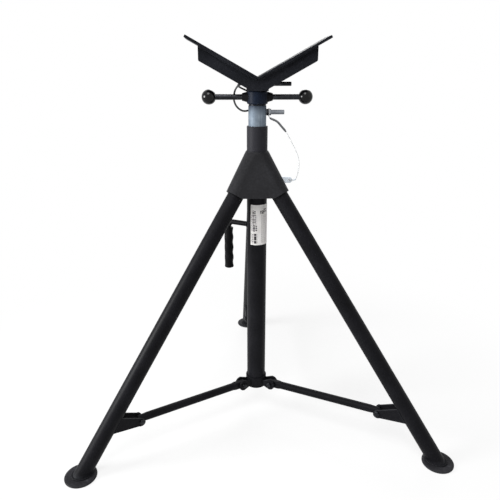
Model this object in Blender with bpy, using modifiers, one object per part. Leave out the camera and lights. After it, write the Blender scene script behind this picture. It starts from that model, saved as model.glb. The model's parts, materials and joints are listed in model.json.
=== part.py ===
"""Folding pipe jack stand with a V head.

A round column stands on three tubular legs that fold up under a flared hub. Three braces run from a collar
that slides on the column to a bracket on each leg. A mast telescopes out of a guide sleeve in the column and
is locked by a cross pin. A jack nut with two ball ended bars lifts the V head on its screw.

Metres, +Z up, floor at Z = 0, origin at the middle of the footprint, rear leg at +Y.
"""
import math

import bmesh
import bpy
from mathutils import Matrix, Vector

# Clearances
SEAT_GAP = 0.0003
SLIDE_GAP = 0.0004
HINGE_GAP = 0.0003

# Tripod
LEG_TILT = math.radians(35.0)
LEG_LENGTH = 0.7975
LEG_OD = 0.0395
LEG_WALL = 0.0026
LEG_AZIMUTHS = {"left": 210.0, "right": 330.0, "rear": 90.0}
PIVOT_R = 0.045
FOOT_OD = 0.0762
FOOT_THICKNESS = 0.006

# Hub brackets, leg eyes and pivot bolts
EYE_R = 0.013
EYE_THICKNESS = 0.0154
EYE_SHOULDER = 0.0195
EYE_PLUG_LENGTH = 0.030
CHEEK_THICKNESS = 0.004
CHEEK_R = 0.012
BRACKET_BACK = 0.0037
BRACKET_ROOT_UP = 0.0187
BRACKET_ROOT_DOWN = 0.0153
PIVOT_BOLT_D = 0.0096
BOLT_HEAD_D = 0.016
BOLT_HEAD_H = 0.006

# Hub shroud: a hull of three circles, drawn out towards the legs at its lower rim, where each leg's mouth is
# cut square to the leg from the mouth radius outwards
HUB_TOP_ABOVE_PIVOT = 0.0772
HUB_HEIGHT = 0.1025
HUB_WALL = 0.0022
HUB_TOP_SPREAD = 0.0025
HUB_BOTTOM_SPREAD = 0.0675
HUB_BOTTOM_ROUND = 0.024
HUB_MOUTH_R = 0.062

# Column and its end plug
COLUMN_OD = 0.050
COLUMN_WALL = 0.0035
COLUMN_ABOVE_PIVOT = 0.1382
PLUG_UNDERSIDE = 0.0764
PLUG_FLANGE = 0.004
PLUG_SPIGOT = 0.012

# Slide collar and braces
COLLAR_WALL = 0.0028
COLLAR_HEIGHT = 0.0262
COLLAR_PIVOT_RISE = 0.0093
COLLAR_PIVOT_R = 0.046
COLLAR_EAR_R = 0.0155
COLLAR_EAR_THICKNESS = 0.005
COLLAR_EAR_ROOT = 0.0065
COLLAR_BOLT_D = 0.008
COLLAR_BOLT_HEAD_D = 0.013
COLLAR_BOLT_HEAD_H = 0.004
BRACE_OD = 0.020
BRACE_END_D = 0.017
BRACE_EYE_R = 0.0105
BRACE_EYE_WIDTH = 0.014
BRACE_NECK = 0.022
BRACE_TONGUE = 0.011
BRACE_TONGUE_HALF = 0.0068
BRACE_TAPER = 0.020
LEG_EAR_OFFSET = 0.070
LEG_EAR_FROM_FLOOR = 0.1723
LEG_EAR_THICKNESS = 0.004
LEG_EAR_TIP_R = 0.011
LEG_EAR_ROOT = 0.023
LEG_EAR_ROOT_DROP = 0.031
LEG_EAR_NOSE_DROP = 0.0035
LEG_EAR_GAP = 0.021
LEG_EAR_BOLT_D = 0.014
LEG_EAR_BOLT_H = 0.0045

# Carry handle, label and lanyard lug
HANDLE_AZIMUTH = math.radians(150.0)
HANDLE_ROD_D = 0.013
HANDLE_REACH = 0.082
HANDLE_BELOW_PIVOT = 0.108
HANDLE_BEND_R = 0.014
GRIP_OD = 0.024
GRIP_LENGTH = 0.112
GRIP_BELOW_ROD = 0.0095
GRIP_RIPPLE = 0.0013
GRIP_RIPPLES = 4
LABEL_BELOW_PIVOT = 0.0493
LABEL_HEIGHT = 0.104
LABEL_THICKNESS = 0.0004
LABEL_START = math.radians(230.0)
LABEL_SWEEP = math.radians(130.0)
LUG_ABOVE_PIVOT = 0.012
LUG_REACH = 0.0172
LUG_HALF_HEIGHT = 0.007
LUG_THICKNESS = 0.004
LUG_HOLE_D = 0.006

# Guide sleeve, mast and mast pin
SLEEVE_WALL = 0.003
SLEEVE_ABOVE_COLUMN = 0.0465
SLEEVE_IN_COLUMN = 0.060
MAST_WALL = 0.003
HOLE_COUNT = 13
HOLE_PITCH = 0.040
PIN_ABOVE_COLUMN = 0.0315
MAST_PIN_D = 0.0105
MAST_PIN_RIGHT = 0.0636
MAST_PIN_SHOULDER_D = 0.015
MAST_PIN_SHOULDER_L = 0.011
BUSH_HEIGHT = 0.024
WASHER_THICKNESS = 0.0024
WASHER_OD = 0.041

# Jack nut with its bars and knobs
NUT_OD = 0.049
NUT_HEIGHT = 0.029
NUT_CHAMFER = 0.002
BAR_RISE = 0.016
BOSS_ROOT_D = 0.024
BOSS_TIP_D = 0.017
BOSS_REACH = 0.036
BAR_D = 0.013
BAR_SOCKET = 0.011
KNOB_D = 0.034
KNOB_REACH = 0.113
KNOB_SOCKET = 0.011

# V head and its lift screw
SCREW_D = 0.028
SCREW_ROOT_D = 0.0245
SCREW_PITCH = 0.00635
SCREW_BELOW_NUT = 0.081
V_ANGLE = math.radians(28.5)
V_ARM = 0.183
V_PLATE = 0.006
V_WIDTH = 0.076
APEX_ABOVE_NUT = 0.031
WEB_DEPTH = 0.034
WEB_THICKNESS = 0.006
WEB_REACH = 0.134
WEB_TAB = 0.024
WEB_FILLET = 0.006
HEAD_SLEEVE_OD = 0.046
HEAD_PIN_D = 0.0096
HEAD_PIN_BELOW_APEX = 0.015
HEAD_PIN_LEFT = 0.034
HEAD_PIN_RIGHT = 0.079

# Flexible pieces: route points from the column's axis, chosen by eye
LANYARD_D = 0.002
LANYARD_STEP = 0.006
LANYARD_ROUTE = [(0.0275, 0.0000, 0.8153), (0.0280, -0.0002, 0.8124), (0.0320, -0.0022, 0.8084),
                 (0.0463, -0.0067, 0.8019), (0.0581, -0.0092, 0.7894), (0.0677, -0.0115, 0.7780),
                 (0.0798, -0.0139, 0.7573), (0.0897, -0.0162, 0.7387), (0.0980, -0.0182, 0.7180),
                 (0.0998, -0.0202, 0.7000), (0.0978, -0.0216, 0.6820), (0.0938, -0.0224, 0.6700),
                 (0.0890, -0.0226, 0.6657), (0.0844, -0.0226, 0.6653)]
LOOP_D = 0.0045
LOOP_STEP = 0.005
LOOP_ROUTE = [(-0.0350, -0.0026, 0.8863), (-0.0433, -0.0019, 0.8832), (-0.0496, 0.0009, 0.8765),
              (-0.0529, 0.0052, 0.8686), (-0.0545, 0.0092, 0.8600), (-0.0546, 0.0126, 0.8510),
              (-0.0523, 0.0160, 0.8423), (-0.0478, 0.0193, 0.8345), (-0.0412, 0.0226, 0.8283),
              (-0.0331, 0.0258, 0.8244), (-0.0240, 0.0287, 0.8240), (-0.0153, 0.0312, 0.8272),
              (-0.0084, 0.0330, 0.8336), (-0.0047, 0.0343, 0.8423), (-0.0053, 0.0350, 0.8518),
              (-0.0096, 0.0350, 0.8604), (-0.0168, 0.0345, 0.8667), (-0.0251, 0.0327, 0.8711),
              (-0.0332, 0.0291, 0.8748), (-0.0401, 0.0233, 0.8782), (-0.0444, 0.0155, 0.8817),
              (-0.0428, 0.0072, 0.8850), (-0.0356, 0.0031, 0.8863)]

# Facets
ROUND_SEGMENTS = 32
BAR_SEGMENTS = 20
SMALL_SEGMENTS = 16
HOLE_SEGMENTS = 12
CORNER_STEPS = 8
RIPPLE_STEPS = 6
SMOOTH_ANGLE = math.radians(35.0)
MERGE = 0.00001

# Worked out heights and radii
PIVOT_Z = LEG_LENGTH * math.cos(LEG_TILT)
FOOT_CIRCLE_R = PIVOT_R + LEG_LENGTH * math.sin(LEG_TILT)
COLUMN_R = COLUMN_OD / 2
COLUMN_BORE_R = COLUMN_R - COLUMN_WALL
COLUMN_TOP = PIVOT_Z + COLUMN_ABOVE_PIVOT
FLANGE_TOP = PLUG_UNDERSIDE + PLUG_FLANGE
COLUMN_BOTTOM = FLANGE_TOP + SEAT_GAP
HUB_TOP = PIVOT_Z + HUB_TOP_ABOVE_PIVOT
HUB_BOTTOM = HUB_TOP - HUB_HEIGHT
HUB_LEAN = math.atan2(HUB_BOTTOM_SPREAD - HUB_TOP_SPREAD, HUB_HEIGHT)
HUB_TOP_ROUND = COLUMN_R + SEAT_GAP + HUB_WALL / math.cos(HUB_LEAN / 2) - HUB_TOP_SPREAD / 2
LEG_R = LEG_OD / 2
EYE_SLOT = EYE_THICKNESS + 2 * HINGE_GAP
COLLAR_BORE_R = COLUMN_R + SLIDE_GAP
COLLAR_R = COLLAR_BORE_R + COLLAR_WALL
COLLAR_PIVOT_Z = COLUMN_BOTTOM + COLLAR_PIVOT_RISE
COLLAR_SLOT = BRACE_EYE_WIDTH + 2 * HINGE_GAP
SLEEVE_R = COLUMN_BORE_R - SEAT_GAP
SLEEVE_BORE_R = SLEEVE_R - SLEEVE_WALL
SLEEVE_TOP = COLUMN_TOP + SLEEVE_ABOVE_COLUMN
MAST_R = SLEEVE_BORE_R - SLIDE_GAP
MAST_BORE_R = MAST_R - MAST_WALL
MAST_TOP = SLEEVE_TOP + SEAT_GAP
MAST_BOTTOM = FLANGE_TOP + PLUG_SPIGOT + SEAT_GAP
MAST_PIN_Z = COLUMN_TOP + PIN_ABOVE_COLUMN
WASHER_BOTTOM = MAST_TOP + SEAT_GAP
NUT_BOTTOM = WASHER_BOTTOM + WASHER_THICKNESS + SEAT_GAP
NUT_TOP = NUT_BOTTOM + NUT_HEIGHT
BAR_Z = NUT_BOTTOM + BAR_RISE
SCREW_BORE_R = SCREW_D / 2 + SEAT_GAP
HEAD_BOTTOM = NUT_TOP + SEAT_GAP
APEX_Z = NUT_TOP + APEX_ABOVE_NUT
HEAD_PIN_Z = APEX_Z - HEAD_PIN_BELOW_APEX
V_UNDERSIDE = APEX_Z - (V_PLATE + SEAT_GAP) / math.cos(V_ANGLE)
AXIS_Y = -FOOT_CIRCLE_R / 4


def clear_scene():
    for obj in list(bpy.data.objects):
        bpy.data.objects.remove(obj)


def make_collection(name):
    made = bpy.data.collections.new(name)
    bpy.context.scene.collection.children.link(made)
    return made


def make_material(name, colour, roughness, metallic):
    made = bpy.data.materials.new(name)
    made.use_nodes = True
    shader = made.node_tree.nodes["Principled BSDF"]
    shader.inputs["Base Color"].default_value = (*colour, 1.0)
    shader.inputs["Roughness"].default_value = roughness
    shader.inputs["Metallic"].default_value = metallic
    return made


clear_scene()
PARTS = make_collection("pipe_jack_stand")
CUTTERS = make_collection("cutters")
BLACK_PAINT = make_material("black_powder_coat", (0.012, 0.013, 0.015), 0.42, 0.0)
ZINC = make_material("zinc_plate", (0.55, 0.55, 0.53), 0.32, 1.0)
STEEL = make_material("dark_steel", (0.09, 0.09, 0.10), 0.38, 1.0)
GLOSS_BLACK = make_material("gloss_black_plastic", (0.010, 0.010, 0.011), 0.12, 0.0)
GRIP_RUBBER = make_material("grip_rubber", (0.015, 0.015, 0.016), 0.62, 0.0)
LABEL_WHITE = make_material("label_white", (0.80, 0.80, 0.78), 0.45, 0.0)
CABLE = make_material("coated_cable", (0.22, 0.22, 0.23), 0.45, 0.0)


def add_empty(name, parent=None, location=(0, 0, 0), rotation=(0, 0, 0)):
    empty = bpy.data.objects.new(name, None)
    PARTS.objects.link(empty)
    empty.parent = parent
    empty.location = location
    empty.rotation_euler = rotation
    return empty


def add_piece(name, mesh, material, parent, location=(0, 0, 0), rotation=(0, 0, 0)):
    piece = bpy.data.objects.new(name, mesh)
    PARTS.objects.link(piece)
    piece.parent = parent
    piece.location = location
    piece.rotation_euler = rotation
    mesh.materials.append(material)
    mesh.shade_smooth()
    mesh.set_sharp_from_angle(angle=SMOOTH_ANGLE)
    return piece


def add_cutter(name, mesh, parent, location=(0, 0, 0), rotation=(0, 0, 0)):
    cutter = bpy.data.objects.new(name, mesh)
    CUTTERS.objects.link(cutter)
    cutter.parent = parent
    cutter.location = location
    cutter.rotation_euler = rotation
    cutter.hide_render = True
    cutter.display_type = "WIRE"
    return cutter


def boolean(piece, tool, operation="DIFFERENCE"):
    modifier = piece.modifiers.new(operation.lower(), "BOOLEAN")
    modifier.operation = operation
    modifier.solver = "EXACT"
    modifier.object = tool


def weld(mesh):
    """Close the loose caps of a mesh that came from a curve, and point its faces outwards."""
    work = bmesh.new()
    work.from_mesh(mesh)
    bmesh.ops.remove_doubles(work, verts=work.verts, dist=MERGE)
    bmesh.ops.recalc_face_normals(work, faces=work.faces)
    work.to_mesh(mesh)
    work.free()


def cylinder_mesh(name, radius, start, end, axis="Z", end_radius=None, segments=SMALL_SEGMENTS):
    """A cylinder or cone along an axis, between two places on it."""
    turn = {"X": Matrix.Rotation(math.pi / 2, 4, "Y"), "Y": Matrix.Rotation(-math.pi / 2, 4, "X"),
            "Z": Matrix.Identity(4)}[axis]
    middle = turn @ Vector((0, 0, (start + end) / 2))
    work = bmesh.new()
    bmesh.ops.create_cone(work, cap_ends=True, segments=segments, radius1=radius,
                          radius2=radius if end_radius is None else end_radius, depth=abs(end - start),
                          matrix=Matrix.Translation(middle) @ turn)
    mesh = bpy.data.meshes.new(name)
    work.to_mesh(mesh)
    work.free()
    return mesh


def box_mesh(name, low, high):
    low, high = Vector(low), Vector(high)
    work = bmesh.new()
    bmesh.ops.create_cube(work, size=1.0, matrix=Matrix.Translation((low + high) / 2)
                          @ Matrix.Diagonal((*(high - low), 1.0)))
    mesh = bpy.data.meshes.new(name)
    work.to_mesh(mesh)
    work.free()
    return mesh


def profile_mesh(name, points, closed):
    """Edges through (radius, height) points, for a Screw modifier."""
    edges = [(i, i + 1) for i in range(len(points) - 1)]
    if closed:
        edges.append((len(points) - 1, 0))
    mesh = bpy.data.meshes.new(name)
    mesh.from_pydata([(radius, 0, height) for radius, height in points], edges, [])
    return mesh


def spin_profile(piece, segments):
    modifier = piece.modifiers.new("turn", "SCREW")
    modifier.axis = "Z"
    modifier.angle = math.tau
    modifier.steps = segments
    modifier.render_steps = segments
    modifier.use_merge_vertices = True
    modifier.merge_threshold = MERGE
    modifier.use_smooth_shade = True


def turned(name, points, material, parent, closed=False, segments=ROUND_SEGMENTS, **place):
    """A turned piece. The profile runs down its outer side, and back up its bore where it is closed."""
    piece = add_piece(name, profile_mesh(name, points, closed), material, parent, **place)
    spin_profile(piece, segments)
    return piece


def ring(name, outer, inner, bottom, top, material, parent, **place):
    points = [(outer, top), (outer, bottom), (inner, bottom), (inner, top)]
    return turned(name, points, material, parent, closed=True, **place)


def arc(centre, radius, start, end, steps=CORNER_STEPS):
    """Points on an arc from one angle to another, in radians."""
    angles = [start + (end - start) * i / steps for i in range(steps + 1)]
    return [(centre[0] + radius * math.cos(a), centre[1] + radius * math.sin(a)) for a in angles]


def plate_mesh(name, outline, thickness):
    """A flat outline in X and Z, with its thickness along Y about the plane Y = 0."""
    curve = bpy.data.curves.new(name, "CURVE")
    curve.dimensions = "2D"
    curve.fill_mode = "BOTH"
    curve.extrude = thickness / 2
    spline = curve.splines.new("POLY")
    spline.points.add(len(outline) - 1)
    for point, (x, z) in zip(spline.points, outline):
        point.co = (x, z, 0, 1)
    spline.use_cyclic_u = True
    guide = bpy.data.objects.new(name + "_outline", curve)
    PARTS.objects.link(guide)
    graph = bpy.context.evaluated_depsgraph_get()
    mesh = bpy.data.meshes.new_from_object(guide.evaluated_get(graph))
    bpy.data.objects.remove(guide)
    mesh.transform(Matrix.Rotation(math.pi / 2, 4, "X"))
    weld(mesh)
    return mesh


def smooth_route(points, spacing):
    """Points about one spacing apart on a smooth curve through the route's own points."""
    knots = [Vector(p) for p in points]
    knots = [knots[0] * 2 - knots[1]] + knots + [knots[-1] * 2 - knots[-2]]
    route = []
    for before, a, b, after in zip(knots, knots[1:], knots[2:], knots[3:]):
        count = max(1, round((b - a).length / spacing))
        for i in range(count):
            t = i / count
            route.append(0.5 * (2 * a + (b - before) * t + (2 * before - 5 * a + 4 * b - after) * t * t
                                + (3 * a - before - 3 * b + after) * t ** 3))
    route.append(knots[-2])
    return route


def tube(name, points, diameter, material, parent, resolution=2):
    """A round wire along points, as a bevelled curve with filled caps."""
    curve = bpy.data.curves.new(name, "CURVE")
    curve.dimensions = "3D"
    curve.bevel_depth = diameter / 2
    curve.bevel_resolution = resolution
    curve.use_fill_caps = True
    spline = curve.splines.new("POLY")
    spline.points.add(len(points) - 1)
    for point, place in zip(spline.points, points):
        point.co = (*place, 1)
    curve.materials.append(material)
    piece = bpy.data.objects.new(name, curve)
    PARTS.objects.link(piece)
    piece.parent = parent
    return piece


def build_column(stand):
    ring("column_tube", COLUMN_R, COLUMN_BORE_R, COLUMN_BOTTOM, COLUMN_TOP, BLACK_PAINT, stand)
    spigot_r = COLUMN_BORE_R - SEAT_GAP
    spigot_top = FLANGE_TOP + PLUG_SPIGOT
    turned("column_end_plug", [(0, spigot_top), (spigot_r, spigot_top), (spigot_r, FLANGE_TOP),
                               (COLLAR_R, FLANGE_TOP), (COLLAR_R, PLUG_UNDERSIDE), (0, PLUG_UNDERSIDE)],
           BLACK_PAINT, stand)
    sleeve = ring("guide_sleeve", SLEEVE_R, SLEEVE_BORE_R, COLUMN_TOP - SLEEVE_IN_COLUMN, SLEEVE_TOP, ZINC,
                  stand)
    hole = cylinder_mesh("sleeve_pin_hole", MAST_PIN_D / 2 + SLIDE_GAP, 0, COLUMN_OD, "X")
    boolean(sleeve, add_cutter("sleeve_pin_hole", hole, stand, location=(0, 0, MAST_PIN_Z)))


def hub_section(spread, rounding, height):
    """The hull of three circles, one towards each leg."""
    points = []
    for azimuth in sorted(LEG_AZIMUTHS.values()):
        middle = math.radians(azimuth)
        centre = (spread * math.cos(middle), spread * math.sin(middle))
        points += [(x, y, height) for x, y in
                   arc(centre, rounding, middle - math.pi / 3, middle + math.pi / 3, CORNER_STEPS)]
    return points


def hub_size(height):
    """The shroud's spread and rounding at a height."""
    share = (HUB_TOP - height) / HUB_HEIGHT
    spread = HUB_TOP_SPREAD + (HUB_BOTTOM_SPREAD - HUB_TOP_SPREAD) * share
    return spread, HUB_TOP_ROUND + (HUB_BOTTOM_ROUND - HUB_TOP_ROUND) * share


def build_hub(stand):
    sections = [hub_section(*hub_size(height), height) for height in (HUB_BOTTOM, HUB_TOP)]
    count = len(sections[0])
    faces = [(i, (i + 1) % count, count + (i + 1) % count, count + i) for i in range(count)]
    mesh = bpy.data.meshes.new("hub_shroud")
    mesh.from_pydata(sections[0] + sections[1], [], faces)
    shroud = add_piece("hub_shroud", mesh, BLACK_PAINT, stand)
    wall = shroud.modifiers.new("wall", "SOLIDIFY")
    wall.thickness = HUB_WALL
    wall.offset = -1.0
    for side, degrees in LEG_AZIMUTHS.items():
        azimuth = math.radians(degrees)
        place = (HUB_MOUTH_R * math.cos(azimuth), HUB_MOUTH_R * math.sin(azimuth), HUB_BOTTOM)
        mouth = add_empty("hub_mouth_%s" % side, stand, place, (0, 0, azimuth))
        below = box_mesh("mouth_cut", (-HUB_HEIGHT, -HUB_HEIGHT, -HUB_HEIGHT), (HUB_HEIGHT, HUB_HEIGHT, 0))
        boolean(shroud, add_cutter("mouth_cut_%s" % side, below, mouth, rotation=(0, -LEG_TILT, 0)))


def build_lug(stand):
    """A tab on the right lobe of the shroud, for the pin's lanyard."""
    lobe = math.radians(LEG_AZIMUTHS["right"])
    lug_z = PIVOT_Z + LUG_ABOVE_PIVOT
    roots = []
    for height in (lug_z + LUG_HALF_HEIGHT, lug_z - LUG_HALF_HEIGHT):
        spread, rounding = hub_size(height)
        roots.append(spread * math.cos(lobe) + rounding + SEAT_GAP)
    end = roots[1] + LUG_REACH - LUG_HALF_HEIGHT
    outline = [(roots[0], LUG_HALF_HEIGHT), (roots[1], -LUG_HALF_HEIGHT)]
    outline += arc((end, 0), LUG_HALF_HEIGHT, -math.pi / 2, math.pi / 2)
    lug = add_piece("lanyard_lug", plate_mesh("lanyard_lug", outline, LUG_THICKNESS), BLACK_PAINT, stand,
                    location=(0, hub_size(lug_z)[0] * math.sin(lobe), lug_z))
    hole = cylinder_mesh("lug_hole", LUG_HOLE_D / 2, -LUG_THICKNESS, LUG_THICKNESS, "Y",
                         segments=HOLE_SEGMENTS)
    boolean(lug, add_cutter("lug_hole", hole, lug, location=(end, 0, 0)))


def bolt_profile(shank_r, head_r, head_h, grip):
    """A bolt with its nut, along Z about its middle, with the given length between head and nut."""
    half = grip / 2
    return [(0, half + head_h), (head_r, half + head_h), (head_r, half), (shank_r, half),
            (shank_r, -half), (head_r, -half), (head_r, -half - head_h), (0, -half - head_h)]


def build_leg(side, stand):
    azimuth = math.radians(LEG_AZIMUTHS[side])
    place = (PIVOT_R * math.cos(azimuth), PIVOT_R * math.sin(azimuth), PIVOT_Z)
    fixed = add_empty("leg_%s_seat" % side, stand, place, (0, 0, azimuth))
    build_hub_bracket(side, fixed)

    hinge = add_empty("leg_%s_hinge" % side, stand, place, (0, 0, azimuth))
    axis = add_empty("leg_%s_axis" % side, hinge, rotation=(0, -LEG_TILT, 0))
    bore_r = LEG_R - LEG_WALL
    beyond = LEG_LENGTH + LEG_OD
    leg = ring("leg_tube_%s" % side, LEG_R, bore_r, -beyond, -EYE_SHOULDER, BLACK_PAINT, axis)
    floor_box = box_mesh("floor_cut", (-LEG_OD * 4, -LEG_OD * 2, -LEG_LENGTH),
                         (LEG_OD * 4, LEG_OD * 2, FOOT_THICKNESS + SEAT_GAP))
    foot_place = (FOOT_CIRCLE_R - PIVOT_R, 0, -PIVOT_Z)
    boolean(leg, add_cutter("floor_cut_%s" % side, floor_box, hinge, location=foot_place))
    turned("foot_disc_%s" % side, [(0, FOOT_THICKNESS), (FOOT_OD / 2, FOOT_THICKNESS), (FOOT_OD / 2, 0),
                                   (0, 0)], BLACK_PAINT, hinge, location=foot_place)

    outline = arc((0, 0), EYE_R, 0, math.pi) + [(-EYE_R, -EYE_SHOULDER - EYE_PLUG_LENGTH / 2),
                                                (EYE_R, -EYE_SHOULDER - EYE_PLUG_LENGTH / 2)]
    eye = add_piece("leg_eye_%s" % side, plate_mesh("leg_eye", outline, EYE_THICKNESS), STEEL, axis)
    plug = cylinder_mesh("eye_plug", bore_r - SEAT_GAP, -EYE_SHOULDER - EYE_PLUG_LENGTH,
                         -EYE_SHOULDER - SEAT_GAP, segments=ROUND_SEGMENTS)
    boolean(eye, add_cutter("eye_plug_%s" % side, plug, axis), "UNION")
    hole = cylinder_mesh("eye_hole", PIVOT_BOLT_D / 2 + HINGE_GAP, -EYE_THICKNESS, EYE_THICKNESS, "Y")
    boolean(eye, add_cutter("eye_hole_%s" % side, hole, axis))
    build_leg_ears(side, axis)


def build_hub_bracket(side, fixed):
    """A channel bracket on the column: two cheeks for the leg's eye, joined by a back plate."""
    half_slot = EYE_SLOT / 2
    half_width = half_slot + CHEEK_THICKNESS
    root = COLUMN_R + SEAT_GAP - PIVOT_R
    outline = [(root - COLUMN_R / 2, BRACKET_ROOT_UP), (root - COLUMN_R / 2, -BRACKET_ROOT_DOWN),
               (root + BRACKET_BACK, -BRACKET_ROOT_DOWN)]
    outline += arc((0, 0), CHEEK_R, -math.pi / 2, math.pi / 2)
    outline += [(root + BRACKET_BACK, BRACKET_ROOT_UP)]
    bracket = add_piece("hub_bracket_%s" % side, plate_mesh("hub_bracket", outline, 2 * half_width),
                        BLACK_PAINT, fixed)
    slot = box_mesh("bracket_slot", (root + BRACKET_BACK, -half_slot, -PIVOT_R),
                    (PIVOT_R, half_slot, PIVOT_R))
    boolean(bracket, add_cutter("bracket_slot_%s" % side, slot, fixed))
    column = cylinder_mesh("bracket_column", COLUMN_R + SEAT_GAP, -PIVOT_R, PIVOT_R,
                           segments=ROUND_SEGMENTS)
    boolean(bracket, add_cutter("bracket_column_%s" % side, column, fixed, location=(-PIVOT_R, 0, 0)))
    hole = cylinder_mesh("bracket_hole", PIVOT_BOLT_D / 2 + HINGE_GAP, -PIVOT_R, PIVOT_R, "Y")
    boolean(bracket, add_cutter("bracket_hole_%s" % side, hole, fixed))
    profile = bolt_profile(PIVOT_BOLT_D / 2, BOLT_HEAD_D / 2, BOLT_HEAD_H, 2 * (half_width + SEAT_GAP))
    turned("leg_pivot_bolt_%s" % side, profile, STEEL, fixed, segments=SMALL_SEGMENTS,
           rotation=(math.pi / 2, 0, 0))


def build_leg_ears(side, axis):
    """Two ears on the leg's inner side that take the brace's outer end between them."""
    up = -(LEG_LENGTH - LEG_EAR_FROM_FLOOR)
    root = up - LEG_EAR_ROOT_DROP
    nose = up - LEG_EAR_NOSE_DROP
    outline = arc((-LEG_EAR_OFFSET, nose), LEG_EAR_TIP_R, math.pi / 2, 3 * math.pi / 2)
    outline += [(0, root - LEG_EAR_ROOT), (0, root + LEG_EAR_ROOT)]
    middle = LEG_EAR_GAP / 2 + LEG_EAR_THICKNESS / 2
    for hand, label in ((1, "a"), (-1, "b")):
        name = "brace_ear_%s_%s" % (side, label)
        ear = add_piece(name, plate_mesh(name, outline, LEG_EAR_THICKNESS), BLACK_PAINT, axis,
                        location=(0, hand * middle, 0))
        outside = LEG_EAR_GAP / 2 + LEG_EAR_THICKNESS + LEG_EAR_BOLT_H
        bolt = cylinder_mesh("ear_bolt", LEG_EAR_BOLT_D / 2, hand * middle, hand * outside, "Y")
        boolean(ear, add_cutter("ear_bolt_%s_%s" % (side, label), bolt, axis,
                                location=(-LEG_EAR_OFFSET, 0, up)), "UNION")
        room = cylinder_mesh("ear_leg", LEG_R + SEAT_GAP, root - 2 * LEG_EAR_ROOT, root + 2 * LEG_EAR_ROOT,
                             segments=ROUND_SEGMENTS)
        boolean(ear, add_cutter("ear_leg_%s_%s" % (side, label), room, axis))


def brace_line():
    """The length of a brace between its pivots, and its rise above the horizontal."""
    along = LEG_LENGTH - LEG_EAR_FROM_FLOOR
    outer_r = PIVOT_R + along * math.sin(LEG_TILT) - LEG_EAR_OFFSET * math.cos(LEG_TILT)
    outer_z = PIVOT_Z - along * math.cos(LEG_TILT) - LEG_EAR_OFFSET * math.sin(LEG_TILT)
    run, rise = outer_r - COLLAR_PIVOT_R, outer_z - COLLAR_PIVOT_Z
    return math.hypot(run, rise), math.atan2(rise, run)


def build_brace(side, slide):
    azimuth = math.radians(LEG_AZIMUTHS[side])
    length, rise = brace_line()
    place = (COLLAR_PIVOT_R * math.cos(azimuth), COLLAR_PIVOT_R * math.sin(azimuth), COLLAR_PIVOT_Z)
    hinge = add_empty("brace_%s_hinge" % side, slide, place, (0, 0, azimuth))
    axis = add_empty("brace_%s_axis" % side, hinge, rotation=(0, -rise, 0))
    end_r = BRACE_END_D / 2
    tip = arc((length, 0), end_r, 0, math.pi / 2)
    profile = [(radius, along) for along, radius in tip]
    profile += [(BRACE_OD / 2, length - BRACE_TAPER), (BRACE_OD / 2, BRACE_NECK), (0, BRACE_NECK)]
    bar = turned("brace_%s" % side, profile, BLACK_PAINT, axis, segments=BAR_SEGMENTS,
                 rotation=(0, math.pi / 2, 0))
    neck = arc((0, 0), BRACE_EYE_R, math.pi / 2, 3 * math.pi / 2)
    neck += [(BRACE_NECK + BRACE_TONGUE, -BRACE_TONGUE_HALF), (BRACE_NECK + BRACE_TONGUE, BRACE_TONGUE_HALF)]
    eye = add_cutter("brace_eye_%s" % side, plate_mesh("brace_eye", neck, BRACE_EYE_WIDTH), axis)
    boolean(bar, eye, "UNION")
    hole = cylinder_mesh("brace_hole", COLLAR_BOLT_D / 2 + HINGE_GAP, -BRACE_OD, BRACE_OD, "Y")
    boolean(bar, add_cutter("brace_hole_%s" % side, hole, axis))


def build_collar(slide):
    top = COLUMN_BOTTOM + COLLAR_HEIGHT
    collar = ring("slide_collar", COLLAR_R, COLLAR_BORE_R, COLUMN_BOTTOM, top, BLACK_PAINT, slide)
    root = COLLAR_BORE_R - COLLAR_WALL / 2 - COLLAR_PIVOT_R
    outline = [(root, COLLAR_EAR_ROOT), (root, -COLLAR_EAR_ROOT)]
    outline += arc((0, 0), COLLAR_EAR_R, -math.pi / 2, math.pi / 2)
    middle = COLLAR_SLOT / 2 + COLLAR_EAR_THICKNESS / 2
    grip = COLLAR_SLOT + 2 * COLLAR_EAR_THICKNESS + 2 * SEAT_GAP
    for side, degrees in LEG_AZIMUTHS.items():
        azimuth = math.radians(degrees)
        place = (COLLAR_PIVOT_R * math.cos(azimuth), COLLAR_PIVOT_R * math.sin(azimuth), COLLAR_PIVOT_Z)
        seat = add_empty("collar_seat_%s" % side, slide, place, (0, 0, azimuth))
        for hand, label in ((1, "a"), (-1, "b")):
            ear = add_cutter("collar_ear_%s_%s" % (side, label),
                             plate_mesh("collar_ear", outline, COLLAR_EAR_THICKNESS), seat,
                             location=(0, hand * middle, 0))
            boolean(collar, ear, "UNION")
        hole = cylinder_mesh("collar_hole", COLLAR_BOLT_D / 2 + HINGE_GAP, -grip, grip, "Y")
        boolean(collar, add_cutter("collar_hole_%s" % side, hole, seat))
        profile = bolt_profile(COLLAR_BOLT_D / 2, COLLAR_BOLT_HEAD_D / 2, COLLAR_BOLT_HEAD_H, grip)
        turned("collar_bolt_%s" % side, profile, STEEL, seat, segments=SMALL_SEGMENTS,
               rotation=(math.pi / 2, 0, 0))
    bore = cylinder_mesh("collar_bore", COLLAR_BORE_R, COLUMN_BOTTOM - COLLAR_HEIGHT, top + COLLAR_HEIGHT,
                         segments=ROUND_SEGMENTS)
    boolean(collar, add_cutter("collar_bore", bore, slide))


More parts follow.
